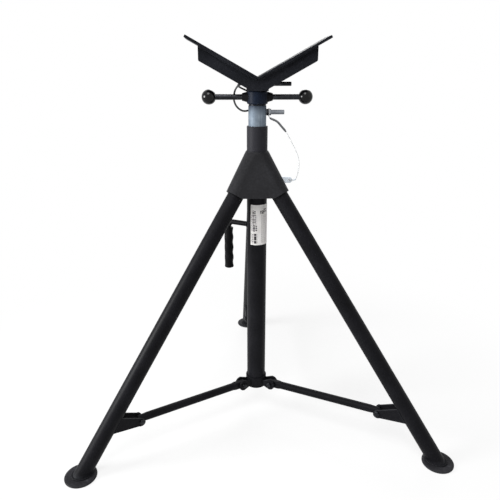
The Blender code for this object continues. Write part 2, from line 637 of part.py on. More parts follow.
def build_handle(stand):
    rod_z = PIVOT_Z - HANDLE_BELOW_PIVOT
    frame = add_empty("handle_frame", stand, (0, 0, rod_z), (0, 0, HANDLE_AZIMUTH))
    bottom = -GRIP_BELOW_ROD - GRIP_LENGTH - HANDLE_ROD_D / 2
    bend = arc((HANDLE_REACH - HANDLE_BEND_R, -HANDLE_BEND_R), HANDLE_BEND_R, math.pi / 2, 0)
    points = [(COLUMN_R + SEAT_GAP, 0, 0)]
    points += [(x, 0, z) for x, z in bend]
    points += [(HANDLE_REACH, 0, bottom)]
    tube("carry_handle_rod", points, HANDLE_ROD_D, BLACK_PAINT, frame, resolution=3)

    top = -GRIP_BELOW_ROD - HANDLE_ROD_D / 2
    bore_r = HANDLE_ROD_D / 2 + SEAT_GAP
    steps = GRIP_RIPPLES * RIPPLE_STEPS
    profile = [(bore_r, top)]
    for i in range(steps + 1):
        share = i / steps
        wave = GRIP_RIPPLE * math.cos(math.tau * GRIP_RIPPLES * share)
        profile.append((GRIP_OD / 2 - GRIP_RIPPLE + wave, top - GRIP_LENGTH * share))
    profile.append((bore_r, top - GRIP_LENGTH))
    turned("carry_handle_grip", profile, GRIP_RUBBER, frame, closed=True, segments=BAR_SEGMENTS,
           location=(HANDLE_REACH, 0, 0))


def build_label(stand):
    """A thin blank label wrapped on the column's front."""
    radius = COLUMN_R + SEAT_GAP
    top = PIVOT_Z - LABEL_BELOW_PIVOT
    mesh = bpy.data.meshes.new("label")
    work = bmesh.new()
    low = work.verts.new((radius, 0, top - LABEL_HEIGHT))
    high = work.verts.new((radius, 0, top))
    edge = work.edges.new((low, high))
    bmesh.ops.rotate(work, verts=work.verts, cent=(0, 0, 0), matrix=Matrix.Rotation(LABEL_START, 3, "Z"))
    bmesh.ops.spin(work, geom=[low, high, edge], cent=(0, 0, 0), axis=(0, 0, 1), angle=LABEL_SWEEP,
                   steps=ROUND_SEGMENTS // 2)
    for face in work.faces:
        face.normal_update()
        middle = face.calc_center_median()
        if face.normal.dot(Vector((middle.x, middle.y, 0))) < 0:
            face.normal_flip()
    work.to_mesh(mesh)
    work.free()
    label = add_piece("label", mesh, LABEL_WHITE, stand)
    thickness = label.modifiers.new("thickness", "SOLIDIFY")
    thickness.thickness = LABEL_THICKNESS
    thickness.offset = 1.0


def build_mast(stand):
    slide = add_empty("mast_slide", stand)
    mast = ring("mast_tube", MAST_R, MAST_BORE_R, MAST_BOTTOM, MAST_TOP, ZINC, slide)
    for i in range(HOLE_COUNT):
        hole = cylinder_mesh("mast_hole", MAST_PIN_D / 2 + SLIDE_GAP, 0, COLUMN_R, "X",
                             segments=HOLE_SEGMENTS)
        boolean(mast, add_cutter("mast_hole_%02d" % i, hole, slide,
                                 location=(0, 0, MAST_PIN_Z - HOLE_PITCH * i)))
    ring("mast_guide_bush", COLUMN_BORE_R - SLIDE_GAP, MAST_R + SEAT_GAP, MAST_BOTTOM,
         MAST_BOTTOM + BUSH_HEIGHT, STEEL, slide)
    ring("thrust_washer", WASHER_OD / 2, SCREW_BORE_R, WASHER_BOTTOM, WASHER_BOTTOM + WASHER_THICKNESS,
         STEEL, slide)

    pull = add_empty("mast_pin_pull", stand, (0, 0, MAST_PIN_Z))
    pin_r, shoulder_r = MAST_PIN_D / 2, MAST_PIN_SHOULDER_D / 2
    near = SLEEVE_R + SEAT_GAP
    far = near + MAST_PIN_SHOULDER_L
    tip = SCREW_BORE_R + SEAT_GAP
    turned("mast_pin", [(0, MAST_PIN_RIGHT), (pin_r, MAST_PIN_RIGHT), (pin_r, far), (shoulder_r, far),
                        (shoulder_r, near), (pin_r, near), (pin_r, tip + MAST_WALL / 2),
                        (pin_r - MAST_WALL / 2, tip), (0, tip)], ZINC, pull,
           segments=SMALL_SEGMENTS, rotation=(0, math.pi / 2, 0))


def build_nut(slide):
    spin = add_empty("nut_spin", slide, (0, 0, NUT_BOTTOM))
    outer = NUT_OD / 2
    nut = turned("jack_nut", [(SCREW_BORE_R, NUT_HEIGHT), (outer - NUT_CHAMFER, NUT_HEIGHT),
                              (outer, NUT_HEIGHT - NUT_CHAMFER), (outer, NUT_CHAMFER),
                              (outer - NUT_CHAMFER, 0), (SCREW_BORE_R, 0)], BLACK_PAINT, spin, closed=True)
    root = outer * math.cos(math.asin(BOSS_ROOT_D / NUT_OD)) - NUT_CHAMFER
    socket_floor = BOSS_REACH - BAR_SOCKET
    bar_start, bar_end = socket_floor + SEAT_GAP, KNOB_REACH - KNOB_D / 2 + KNOB_SOCKET - SEAT_GAP
    for hand, side in ((1, "right"), (-1, "left")):
        frame = add_empty("bar_frame_%s" % side, spin, (0, 0, BAR_RISE), (0, 0, 0 if hand > 0 else math.pi))
        boss = cylinder_mesh("boss", BOSS_ROOT_D / 2, root, BOSS_REACH, "X", BOSS_TIP_D / 2)
        boolean(nut, add_cutter("boss_%s" % side, boss, frame), "UNION")
        socket = cylinder_mesh("socket", BAR_D / 2 + SEAT_GAP, socket_floor, KNOB_REACH, "X")
        boolean(nut, add_cutter("socket_%s" % side, socket, frame))
        add_piece("nut_bar_%s" % side, cylinder_mesh("nut_bar", BAR_D / 2, bar_start, bar_end, "X"),
                  STEEL, frame)
        ball = bpy.data.meshes.new("knob")
        work = bmesh.new()
        bmesh.ops.create_uvsphere(work, u_segments=BAR_SEGMENTS, v_segments=HOLE_SEGMENTS, radius=KNOB_D / 2,
                                  matrix=Matrix.Rotation(math.pi / 2, 4, "Y"))
        work.to_mesh(ball)
        work.free()
        knob = add_piece("ball_knob_%s" % side, ball, GLOSS_BLACK, frame, location=(KNOB_REACH, 0, 0))
        seat = cylinder_mesh("knob_socket", BAR_D / 2 + SEAT_GAP, KNOB_REACH - KNOB_D,
                             KNOB_REACH - KNOB_D / 2 + KNOB_SOCKET, "X")
        boolean(knob, add_cutter("knob_socket_%s" % side, seat, frame))


def fillet(before, corner, after, radius):
    """Arc points that round one corner of an outline."""
    corner = Vector(corner)
    first = (Vector(before) - corner).normalized()
    second = (Vector(after) - corner).normalized()
    half = first.angle(second) / 2
    centre = corner + (first + second).normalized() * (radius / math.sin(half))
    start = corner + first * (radius / math.tan(half)) - centre
    sweep = start.angle_signed(corner + second * (radius / math.tan(half)) - centre)
    angle = math.atan2(start.y, start.x)
    return arc(centre, radius, angle, angle - sweep, CORNER_STEPS // 2)


def build_v_plate(name, hand, lift):
    """One arm of the V, mitred at the apex."""
    c, s, t = math.cos(V_ANGLE), math.sin(V_ANGLE), math.tan(V_ANGLE)
    half_gap = SEAT_GAP / 2
    tip = (V_ARM * c, V_ARM * s)
    outline = [(half_gap, half_gap * t), (half_gap, half_gap * t - V_PLATE / c),
               (tip[0] + V_PLATE * s, tip[1] - V_PLATE * c), tip]
    outline = [(hand * x, APEX_Z + z) for x, z in outline]
    add_piece(name, plate_mesh(name, outline, V_WIDTH), BLACK_PAINT, lift)


def web_outline():
    t = math.tan(V_ANGLE)
    lower = APEX_Z - WEB_DEPTH / math.cos(V_ANGLE)
    corner = (WEB_TAB, lower + WEB_TAB * t)
    end = (WEB_REACH, lower + WEB_REACH * t)
    foot = (WEB_TAB, HEAD_BOTTOM + SEAT_GAP)
    right = [(WEB_REACH, V_UNDERSIDE + WEB_REACH * t), end]
    right += fillet(end, corner, foot, WEB_FILLET) + [foot]
    left = [(-x, z) for x, z in reversed(right)]
    return [(0, V_UNDERSIDE)] + right + left


def build_head(slide):
    lift = add_empty("head_lift", slide)
    build_v_plate("v_plate_right", 1, lift)
    build_v_plate("v_plate_left", -1, lift)
    sleeve_r = HEAD_SLEEVE_OD / 2
    web_middle = sleeve_r + SEAT_GAP + WEB_THICKNESS / 2
    for name, hand in (("v_web_front", -1), ("v_web_rear", 1)):
        add_piece(name, plate_mesh(name, web_outline(), WEB_THICKNESS), BLACK_PAINT, lift,
                  location=(0, hand * web_middle, 0))
    sleeve = ring("head_sleeve", sleeve_r, SCREW_BORE_R, HEAD_BOTTOM, APEX_Z + HEAD_SLEEVE_OD / 4,
                  BLACK_PAINT, lift)
    t = math.tan(V_ANGLE)
    side, above = HEAD_SLEEVE_OD, APEX_Z + 2 * HEAD_SLEEVE_OD
    v_space = [(0, V_UNDERSIDE), (side, V_UNDERSIDE + side * t), (side, above), (-side, above),
               (-side, V_UNDERSIDE + side * t)]
    boolean(sleeve, add_cutter("v_space", plate_mesh("v_space", v_space, 2 * HEAD_SLEEVE_OD), lift))

    crest, valley = SCREW_D / 2, SCREW_ROOT_D / 2
    bottom = NUT_BOTTOM - SCREW_BELOW_NUT
    turns = int((NUT_TOP - bottom) / SCREW_PITCH)
    profile = [(0, V_UNDERSIDE - SEAT_GAP), (crest, V_UNDERSIDE - SEAT_GAP)]
    for i in range(turns):
        height = bottom + (turns - i) * SCREW_PITCH
        profile += [(crest, height), (valley, height - SCREW_PITCH / 2)]
    profile += [(crest, bottom), (0, bottom)]
    screw = turned("lift_screw", profile, STEEL, lift, segments=SMALL_SEGMENTS)

    pull = add_empty("head_pin_pull", lift, (0, 0, HEAD_PIN_Z))
    reach = HEAD_SLEEVE_OD
    for piece, label in ((sleeve, "sleeve"), (screw, "screw")):
        hole = cylinder_mesh("head_pin_hole", HEAD_PIN_D / 2 + SEAT_GAP, -reach, reach, "X")
        boolean(piece, add_cutter("head_pin_hole_%s" % label, hole, pull))
    add_piece("head_pin", cylinder_mesh("head_pin", HEAD_PIN_D / 2, -HEAD_PIN_LEFT, HEAD_PIN_RIGHT, "X"),
              STEEL, pull)


def build_cords(stand):
    tube("pin_lanyard", smooth_route(LANYARD_ROUTE, LANYARD_STEP), LANYARD_D, CABLE, stand)
    tube("pin_pull_loop", smooth_route(LOOP_ROUTE, LOOP_STEP), LOOP_D, CABLE, stand)


def build_stand():
    stand = add_empty("stand_axis", location=(0, AXIS_Y, 0))
    build_column(stand)
    build_hub(stand)
    build_lug(stand)
    build_handle(stand)
    build_label(stand)
    collar_slide = add_empty("collar_slide", stand)
    build_collar(collar_slide)
    for side in LEG_AZIMUTHS:
        build_leg(side, stand)
        build_brace(side, collar_slide)
    build_mast(stand)
    build_nut(stand)
    build_head(stand)
    build_cords(stand)


build_stand()
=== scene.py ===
# %% [markdown]
# # Dressing a folding pipe jack stand
# The stand is a welded steel tripod: three tube legs fold up under a flared hub, a mast slides out of the
# column, and a jack nut with two ball ended bars lifts a V head that holds a pipe. The solids that carry
# the motion are loaded first and never moved. Every visible surface is then made again as a fine grid, with
# rounded edges, weld beads and finishes that the plain solids lack.

# %% Load the fixed frame
import json
import math
from types import SimpleNamespace

import bmesh
import bpy
import numpy as np
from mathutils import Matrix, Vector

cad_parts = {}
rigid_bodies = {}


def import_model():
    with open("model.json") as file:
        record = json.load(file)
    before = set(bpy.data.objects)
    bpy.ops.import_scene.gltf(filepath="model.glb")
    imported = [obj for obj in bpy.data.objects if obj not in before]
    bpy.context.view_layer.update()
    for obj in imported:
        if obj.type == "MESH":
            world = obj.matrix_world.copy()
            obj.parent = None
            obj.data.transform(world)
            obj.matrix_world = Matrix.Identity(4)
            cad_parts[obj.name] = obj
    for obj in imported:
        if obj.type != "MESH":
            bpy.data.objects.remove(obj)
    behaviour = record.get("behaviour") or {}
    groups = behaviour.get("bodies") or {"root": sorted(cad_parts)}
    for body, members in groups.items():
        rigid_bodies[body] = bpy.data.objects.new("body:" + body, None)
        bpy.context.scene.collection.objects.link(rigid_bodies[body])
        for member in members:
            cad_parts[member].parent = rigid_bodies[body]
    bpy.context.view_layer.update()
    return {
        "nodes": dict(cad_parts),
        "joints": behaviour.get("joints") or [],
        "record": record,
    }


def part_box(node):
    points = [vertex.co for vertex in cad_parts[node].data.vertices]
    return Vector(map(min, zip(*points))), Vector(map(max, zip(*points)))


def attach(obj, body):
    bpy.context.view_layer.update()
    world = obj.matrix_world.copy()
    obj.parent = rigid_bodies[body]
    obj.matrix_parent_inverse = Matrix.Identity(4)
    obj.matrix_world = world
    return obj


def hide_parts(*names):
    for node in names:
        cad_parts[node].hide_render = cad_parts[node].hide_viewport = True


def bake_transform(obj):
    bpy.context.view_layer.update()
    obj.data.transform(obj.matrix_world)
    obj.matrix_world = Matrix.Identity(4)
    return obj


for leftover in list(bpy.data.objects):
    bpy.data.objects.remove(leftover)
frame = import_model()
joints = {joint["name"]: joint for joint in frame["joints"]}


def span(solid):
    """Lowest and highest corner of a solid, as arrays."""
    low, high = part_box(solid)
    return np.array(low), np.array(high)


def extent(solid, way=2):
    """The least and the most of a solid along X, Y or Z, which are 0, 1 and 2."""
    low, high = span(solid)
    return low[way], high[way]


def centre(solid):
    """The middle of a solid's box."""
    low, high = span(solid)
    return (low + high) / 2


def half_width(solid, way=0):
    """Half of a solid's width, which is the radius of a round piece."""
    least, most = extent(solid, way)
    return (most - least) / 2


ACROSS, AWAY, UP = np.eye(3)
LEVEL = ACROSS + AWAY
AXIS = centre("column_tube") * LEVEL
SEAT_GAP = 0.0003
HANDS = {"right": 1, "left": -1}
print("column axis at", AXIS.round(4))

# %% [markdown]
# ## The camera
# The picture was solved from the tube edges and the three feet: the lens stands a little left of the
# column's front, above the V head, and looks down. The lens is given by its focal length in pixels of a
# 500 pixel frame, so that the framing follows from one measured number.

# %% Camera
FRAME_PIXELS = 500
FOCAL_PIXELS = 494.15
SENSOR_MM = 36.0
CAMERA_FROM_COLUMN = np.array([-0.0791, -1.2044, 0.9061])
HEADING = math.radians(87.06)
PITCH = math.radians(19.53)


def link(name, data):
    """A new object in the scene, at the origin."""
    made = bpy.data.objects.new(name, data)
    bpy.context.scene.collection.objects.link(made)
    return made


camera = link("camera", bpy.data.cameras.new("camera"))
camera.data.sensor_width = SENSOR_MM
camera.data.lens = FOCAL_PIXELS / FRAME_PIXELS * SENSOR_MM
camera.data.clip_end = 50.0
camera.location = AXIS + CAMERA_FROM_COLUMN
camera.rotation_euler = (math.pi / 2 - PITCH, 0, HEADING - math.pi / 2)
bpy.context.scene.camera = camera
print("lens %.2f mm" % camera.data.lens)

# %% [markdown]
# ## Surfaces as grids
# A tube, a knob or a plate with rounded edges is a rectangle of points that is bent into shape, so each
# piece here is an array of rows and columns. One function turns such grids into a mesh: it joins the last
# row or column to the first where the surface closes, merges the points that meet at poles and seams, and
# points the faces outwards.

# %% From grids to a piece
MERGE = 2e-6
SHARP = math.radians(38)


def grid_faces(rows, columns, close_rows, close_columns):
    """Four corner numbers of each cell of a grid, counted row by row."""
    i = np.arange(rows if close_rows else rows - 1)[:, None]
    j = np.arange(columns if close_columns else columns - 1)[None, :]
    k, m = (i + 1) % rows, (j + 1) % columns
    cells = [i * columns + j, i * columns + m, k * columns + m, k * columns + j]
    return np.stack(np.broadcast_arrays(*cells), axis=-1).reshape(-1, 4)


def sheet(points, close_rows=False, close_columns=True):
    """A grid with the ways in which it closes on itself."""
    return np.asarray(points, float), close_rows, close_columns


def mesh_of(name, sheets):
    """One mesh of several grids, with its seams merged and its faces outwards."""
    corners, faces, start = [], [], 0
    for points, close_rows, close_columns in sheets:
        rows, columns = points.shape[:2]
        corners.append(points.reshape(-1, 3))
        faces.append(grid_faces(rows, columns, close_rows, close_columns) + start)
        start += rows * columns
    mesh = bpy.data.meshes.new(name)
    mesh.from_pydata(np.vstack(corners).tolist(), [], np.vstack(faces).tolist())
    work = bmesh.new()
    work.from_mesh(mesh)
    bmesh.ops.remove_doubles(work, verts=work.verts, dist=MERGE)
    bmesh.ops.dissolve_degenerate(work, edges=work.edges, dist=MERGE)
    bmesh.ops.recalc_face_normals(work, faces=work.faces)
    work.to_mesh(mesh)
    work.free()
    return mesh


# %% Pieces and the bodies they ride on
def show(name, sheets, finish, *stands_for):
    """Puts a piece made of grids into the scene, smooth up to its sharp edges, for the solids it replaces."""
    mesh = mesh_of(name, sheets)
    mesh.materials.append(finish)
    mesh.shade_smooth()
    mesh.set_sharp_from_angle(angle=SHARP)
    piece = link(name, mesh)
    for solid in stands_for:
        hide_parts(solid)
    return piece


def add(name, sheets, finish, body, *stands_for):
    """A piece that rides on a body."""
    piece = show(name, sheets, finish, *stands_for)
    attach(piece, body)
    return piece


# %% Shapes of grids
SUPPORT, SUPPORT_SHARE, CORNER_SHARE = 0.0004, 0.06, 0.42
TINY = 1e-9
ROUND_SIDES = 96
UPRIGHT, LYING, FACING = (ACROSS, AWAY, UP), (AWAY, UP, ACROSS), (ACROSS, UP, AWAY)


def unit(ways):
    """Directions brought to a length of one."""
    return ways / np.maximum(np.linalg.norm(ways, axis=-1, keepdims=True), TINY)


def soften(corners, radius, closed=True, steps=4):
    """Each corner becomes a parabola between points one radius before and after it.

    A further point beside each parabola keeps the flats next to it flat in smooth shading.
    """
    p = np.asarray(corners, float)
    back, ahead = np.roll(p, 1, 0) - p, np.roll(p, -1, 0) - p
    short = np.minimum(*(np.linalg.norm(way, axis=1, keepdims=True) for way in (back, ahead)))
    reach = np.minimum(np.reshape(radius, (-1, 1)), CORNER_SHARE * short)
    pad = reach + np.minimum(SUPPORT, SUPPORT_SHARE * short)
    start, end = p + unit(back) * reach, p + unit(ahead) * reach
    t = np.linspace(0, 1, steps + 1)[None, :, None]
    curve = (1 - t) ** 2 * start[:, None] + 2 * t * (1 - t) * p[:, None] + t ** 2 * end[:, None]
    before, after = p + unit(back) * pad, p + unit(ahead) * pad
    rounded = np.concatenate([before[:, None], curve, after[:, None]], axis=1)
    if closed:
        return rounded.reshape(-1, p.shape[1])
    return np.vstack([p[:1], rounded[1:-1].reshape(-1, p.shape[1]), p[-1:]])


def placed(points, origin, axes=UPRIGHT):
    """Local points carried to an origin with three directions of its own."""
    return np.asarray(origin) + points @ np.stack(axes)


# %% Turned shapes
def revolve(profile, sides=ROUND_SIDES):
    """Points of radius r and height h turned about the upright axis: x = r cos a, y = r sin a, z = h."""
    radius, height = np.asarray(profile, float).T
    a = circle_of(sides)
    return np.stack([radius[:, None] * np.cos(a), radius[:, None] * np.sin(a),
                     np.broadcast_to(height[:, None], (len(radius), sides))], axis=-1)


def turned(profile, origin=AXIS, axes=UPRIGHT, sides=ROUND_SIDES, hollow=False):
    """A profile revolved and put in its place. A hollow one is a closed section that stays off the axis."""
    return sheet(placed(revolve(profile, sides), origin, axes), hollow)


def ring_profile(outer, inner, bottom, top, edge):
    """The section of a ring, with its four corners rounded."""
    return soften([(outer, top), (outer, bottom), (inner, bottom), (inner, top)], edge)


def rod_profile(radius, start, end):
    """Half the section of a round bar with flat ends."""
    return [(0, end), (radius, end), (radius, start), (0, start)]


# %% Circles and arcs
def circle_of(count):
    """Angles all round, evenly spread."""
    return np.linspace(0, 2 * np.pi, count, endpoint=False)


def arc(radius, start, end, count):
    """Points on a circle about the origin, from one angle to another."""
    turn = np.linspace(start, end, count)
    return radius * np.stack([np.cos(turn), np.sin(turn)], axis=1)


def circle_path(middle, radius, first, second, count):
    """A closed circle in the plane of two directions: middle + radius (cos a first + sin a second)."""
    a = circle_of(count)[:, None]
    return middle + radius * (np.cos(a) * first + np.sin(a) * second)


# %% Plates and tubes along a path
def counter_clockwise(outline):
    """The outline in the order that keeps its inside to the left."""
    x, y = outline.T
    area = np.sum(x * np.roll(y, -1) - np.roll(x, -1) * y)
    return outline if area > 0 else outline[::-1]


def plate(outline, thickness, edge, middle, origin, axes):
    """A flat plate: rows run from the middle of one face, over a quarter round rim, to the other face."""
    outline = counter_clockwise(np.asarray(outline, float))
    along = np.roll(outline, -1, 0) - np.roll(outline, 1, 0)
    outward = unit(np.stack([along[:, 1], -along[:, 0]], 1))
    a = np.linspace(0, np.pi / 2, 4)
    inset = np.concatenate([[edge + SUPPORT], edge * (1 - np.sin(a))])
    height = np.concatenate([[thickness / 2], thickness / 2 - edge * (1 - np.cos(a))])
    inset, height = np.concatenate([inset, inset[::-1]]), np.concatenate([height, -height[::-1]])
    rings = outline[None] - outward[None] * inset[:, None, None]
    rings = np.concatenate([rings, np.broadcast_to(height[:, None, None], rings.shape[:2] + (1,))], axis=-1)
    top, bottom = (np.broadcast_to([*middle, z], rings[:1].shape) for z in (thickness / 2, -thickness / 2))
    return sheet(placed(np.concatenate([top, rings, bottom]), origin, axes))


def smooth_route(points, steps=6):
    """A Catmull-Rom curve through the route's own points."""
    p = np.asarray(points, float)
    p = np.vstack([2 * p[0] - p[1], p, 2 * p[-1] - p[-2]])
    a, b, c, d = (q[:, None] for q in (p[:-3], p[1:-2], p[2:-1], p[3:]))
    t = np.linspace(0, 1, steps, endpoint=False)[None, :, None]
    curve = 0.5 * (2 * b + (c - a) * t + (2 * a - 5 * b + 4 * c - d) * t ** 2
                   + (3 * b - a - 3 * c + d) * t ** 3)
    return np.vstack([curve.reshape(-1, 3), p[-2]])


def sweep(path, radius, sides=16, level=AWAY, closed=False):
    """A circle carried along a path, square to it: centre + radius (cos a n + sin a b)."""
    around = np.roll(path, -1, 0) - np.roll(path, 1, 0)
    tangent = unit(around if closed else np.gradient(path, axis=0))
    normal = unit(np.asarray(level) - (tangent @ np.asarray(level))[:, None] * tangent)
    binormal = np.cross(tangent, normal)
    a = circle_of(sides)[None, :, None]
    radius = np.broadcast_to(np.reshape(radius, (-1, 1, 1)), (len(path), 1, 1))
    rings = path[:, None] + radius * (np.cos(a) * normal[:, None] + np.sin(a) * binormal[:, None])
    if closed:
        return rings
    first, last = (np.broadcast_to(end, rings[:1].shape) for end in (path[0], path[-1]))
    return np.concatenate([first, rings, last])


# %% [markdown]
# ## Finishes
# Nearly everything is steel under black powder coat: polyester powder that is sprayed on dry and melted in
# an oven, which leaves a satin skin with a faint orange peel. The guide sleeve and the lock pin are zinc
# plated. The ball knobs are glossy phenolic, the grip is soft vinyl. Each finish is a small node tree on
# Object coordinates, so its grain has a real size in millimetres on every piece.

# %% Helpers for finishes
def linear(code):
    """An sRGB hex colour as the linear colour that shaders take."""
    srgb = np.array([int(code[i:i + 2], 16) for i in (1, 3, 5)]) / 255
    return (*np.where(srgb <= 0.04045, srgb / 12.92, ((srgb + 0.055) / 1.055) ** 2.4), 1.0)


def wire(tree, made, sockets):
    """Gives each socket of a node a value, or a link from another node's output."""
    for key, value in sockets.items():
        if isinstance(value, bpy.types.NodeSocket):
            tree.links.new(value, made.inputs[key])
        else:
            made.inputs[key].default_value = value


def node(tree, kind, sockets, stops=(), **settings):
    """Adds one shader node with its settings, a ramp's (place, colour) stops and its links."""
    made = tree.nodes.new("ShaderNode" + kind)
    for key, value in settings.items():
        setattr(made, key, value)
    for i, (place, code) in enumerate(stops):
        elements = made.color_ramp.elements
        stop = elements[i] if i < len(elements) else elements.new(place)
        stop.position, stop.color = place, linear(code)
    wire(tree, made, sockets)
    return made.outputs


def new_finish(name):
    """An empty material, with its tree, its shader and the object's own coordinates."""
    finish = bpy.data.materials.new(name)
    finish.use_nodes = True
    tree = finish.node_tree
    return finish, tree, tree.nodes["Principled BSDF"], node(tree, "TexCoord", {})["Object"]


def per_metre(millimetres):
    """The scale that gives a noise features of about this size."""
    return 1000.0 / millimetres


# %% Powder coat
LIGHT_FADE_ABOVE = 0.03


def powder_coat(name, tones, gloss=0.06, painted_light_above=None):
    """Satin black polyester powder: a near black that greys on edges, with an orange peel skin.

    The last argument gives a height above which the coat turns to a paler tone, and that tone: painted light
    falling from above.
    """
    finish, tree, shader, place = new_finish(name)
    cloud = node(tree, "TexNoise", {"Vector": place, "Scale": per_metre(70), "Detail": 4.0})["Fac"]
    speck = node(tree, "TexNoise", {"Vector": place, "Scale": per_metre(5), "Detail": 3.0})["Fac"]
    mixed = node(tree, "Mix", {0: 0.4, 2: cloud, 3: speck}, data_type="FLOAT")[0]
    paint = node(tree, "ValToRGB", {"Fac": mixed}, zip((0.32, 0.52, 0.72), tones))["Color"]
    # Painted light: above the given height the coat fades to the paler tone
    if painted_light_above:
        start, pale = painted_light_above
        height = node(tree, "SeparateXYZ", {"Vector": place})["Z"]
        above = node(tree, "MapRange", {"Value": height, "From Min": start - LIGHT_FADE_ABOVE, "From Max": start})[0]
        paint = node(tree, "Mix", {0: above, 6: paint, 7: linear(pale)}, data_type="RGBA")[2]
    edge = node(tree, "NewGeometry", {})["Pointiness"]
    rubbed = node(tree, "MapRange", {"Value": edge, "From Min": 0.535, "From Max": 0.62, "To Max": 0.5})[0]
    worn = node(tree, "Mix", {0: rubbed, 6: paint, 7: linear("#3c3d41")}, data_type="RGBA")[2]
    rough = node(tree, "MapRange", {"Value": cloud, "To Min": 0.36, "To Max": 0.52})[0]
    # Real orange peel is about 1 mm across; it is drawn at 2.6 mm so that the render can show it
    peel = node(tree, "TexNoise", {"Vector": place, "Scale": per_metre(2.6), "Detail": 2.0})["Fac"]
    bump = node(tree, "Bump", {"Height": peel, "Strength": 0.10, "Distance": 0.0006})["Normal"]
    wire(tree, shader, {"Base Color": worn, "Roughness": rough, "Normal": bump, "IOR": 1.5,
                        "Specular IOR Level": gloss})
    return finish


# %% Zinc
SHADE_EDGE_NOISE = 0.02


def zinc_plate(name, tones, nut_shade_heights=None):
    """Zinc on drawn steel: a cool grey metal, dull from handling, with draw lines and cloudy passivation.

    The last argument gives two heights, between which the metal darkens upwards to a blue black: painted
    shade under the nut.
    """
    finish, tree, shader, place = new_finish(name)
    grain = (per_metre(1.2), per_metre(1.2), per_metre(60))
    drawn = node(tree, "Mapping", {"Vector": place, "Scale": grain})[0]
    lines = node(tree, "TexNoise", {"Vector": drawn, "Scale": 1.0, "Detail": 3.0})["Fac"]
    cloud = node(tree, "TexNoise", {"Vector": place, "Scale": per_metre(16), "Detail": 5.0})["Fac"]
    mixed = node(tree, "Mix", {0: 0.6, 2: lines, 3: cloud}, data_type="FLOAT")[0]
    plating = node(tree, "ValToRGB", {"Fac": mixed}, zip((0.30, 0.55, 0.75), tones))["Color"]
    # Painted shade: towards the nut above, the plating darkens to a blue black
    if nut_shade_heights:
        height = node(tree, "SeparateXYZ", {"Vector": place})["Z"]
        ragged_height = node(tree, "Mix", {0: SHADE_EDGE_NOISE, 2: height, 3: cloud}, data_type="FLOAT")[0]
        start, end = ((1 - SHADE_EDGE_NOISE) * z + SHADE_EDGE_NOISE * 0.5 for z in nut_shade_heights)
        mapped = node(tree, "MapRange", {"Value": ragged_height, "From Min": start, "From Max": end},
                     interpolation_type="SMOOTHSTEP")[0]
        plating = node(tree, "Mix", {0: mapped, 6: plating, 7: linear("#1b2130")}, data_type="RGBA")[2]
    rough = node(tree, "MapRange", {"Value": mixed, "To Min": 0.66, "To Max": 0.78})[0]
    bump = node(tree, "Bump", {"Height": lines, "Strength": 0.03, "Distance": 0.0004})["Normal"]
    wire(tree, shader, {"Base Color": plating, "Roughness": rough, "Normal": bump, "Metallic": 1.0})
    return finish


# %% Blackened steel
def black_oxide(name, tones, smooth, rough):
    """Steel blackened in a hot salt bath and given a film of oil: a dark metal that still gleams."""
    finish, tree, shader, place = new_finish(name)
    cloud = node(tree, "TexNoise", {"Vector": place, "Scale": per_metre(9), "Detail": 4.0})["Fac"]
    tone = node(tree, "ValToRGB", {"Fac": cloud}, zip((0.35, 0.55, 0.75), tones))["Color"]
    edge = node(tree, "NewGeometry", {})["Pointiness"]
    rubbed = node(tree, "MapRange", {"Value": edge, "From Min": 0.54, "From Max": 0.63, "To Max": 0.6})[0]
    worn = node(tree, "Mix", {0: rubbed, 6: tone, 7: linear("#707276")}, data_type="RGBA")[2]
    mapped = node(tree, "MapRange", {"Value": cloud, "To Min": smooth, "To Max": rough})[0]
    wire(tree, shader, {"Base Color": worn, "Roughness": mapped, "Metallic": 1.0})
    return finish


# %% Plastics
def phenolic(name="gloss_phenolic"):
    """Pressed phenolic resin: black, hard and glossy from its polished mould."""
    finish, tree, shader, place = new_finish(name)
    haze = node(tree, "TexNoise", {"Vector": place, "Scale": per_metre(11), "Detail": 5.0})["Fac"]
    tone = node(tree, "ValToRGB", {"Fac": haze}, [(0.35, "#060607"), (0.70, "#0c0c0e")])["Color"]
    rough = node(tree, "MapRange", {"Value": haze, "To Min": 0.06, "To Max": 0.17})[0]
    wire(tree, shader, {"Base Color": tone, "Roughness": rough, "Specular IOR Level": 0.2})
    return finish


def vinyl(name="grip_vinyl"):
    """Dip moulded vinyl: matt black, soft, with a fine leathery skin."""
    finish, tree, shader, place = new_finish(name)
    skin = node(tree, "TexNoise", {"Vector": place, "Scale": per_metre(1.8), "Detail": 4.0})["Fac"]
    cloud = node(tree, "TexNoise", {"Vector": place, "Scale": per_metre(22), "Detail": 3.0})["Fac"]
    tone = node(tree, "ValToRGB", {"Fac": cloud}, [(0.35, "#070708"), (0.70, "#0e0e10")])["Color"]
    rough = node(tree, "MapRange", {"Value": cloud, "To Min": 0.48, "To Max": 0.66})[0]
    bump = node(tree, "Bump", {"Height": skin, "Strength": 0.22, "Distance": 0.0005})["Normal"]
    wire(tree, shader, {"Base Color": tone, "Roughness": rough, "Normal": bump, "Specular IOR Level": 0.08})
    return finish


# %% Coated cable
def cable_coat(name, dark, light, turns):
    """Twisted steel strands seen through a plastic coat; the twist follows the cable's own length."""
    finish, tree, shader, place = new_finish(name)
    spot = node(tree, "UVMap", {}, uv_map="wrap")["UV"]
    twist = node(tree, "Mapping", {"Vector": spot, "Scale": (turns, 3.0, 1.0)})[0]
    lay = node(tree, "TexWave", {"Vector": twist, "Scale": 1.0, "Distortion": 0.0},
               bands_direction="DIAGONAL")["Fac"]
    tone = node(tree, "ValToRGB", {"Fac": lay}, [(0.15, dark), (0.75, light)])["Color"]
    bump = node(tree, "Bump", {"Height": lay, "Strength": 0.25, "Distance": 0.0003})["Normal"]
    grime = node(tree, "TexNoise", {"Vector": place, "Scale": per_metre(12), "Detail": 2.0})["Fac"]
    rough = node(tree, "MapRange", {"Value": grime, "To Min": 0.25, "To Max": 0.42})[0]
    wire(tree, shader, {"Base Color": tone, "Roughness": rough, "Normal": bump, "Coat Weight": 0.3})
    return finish


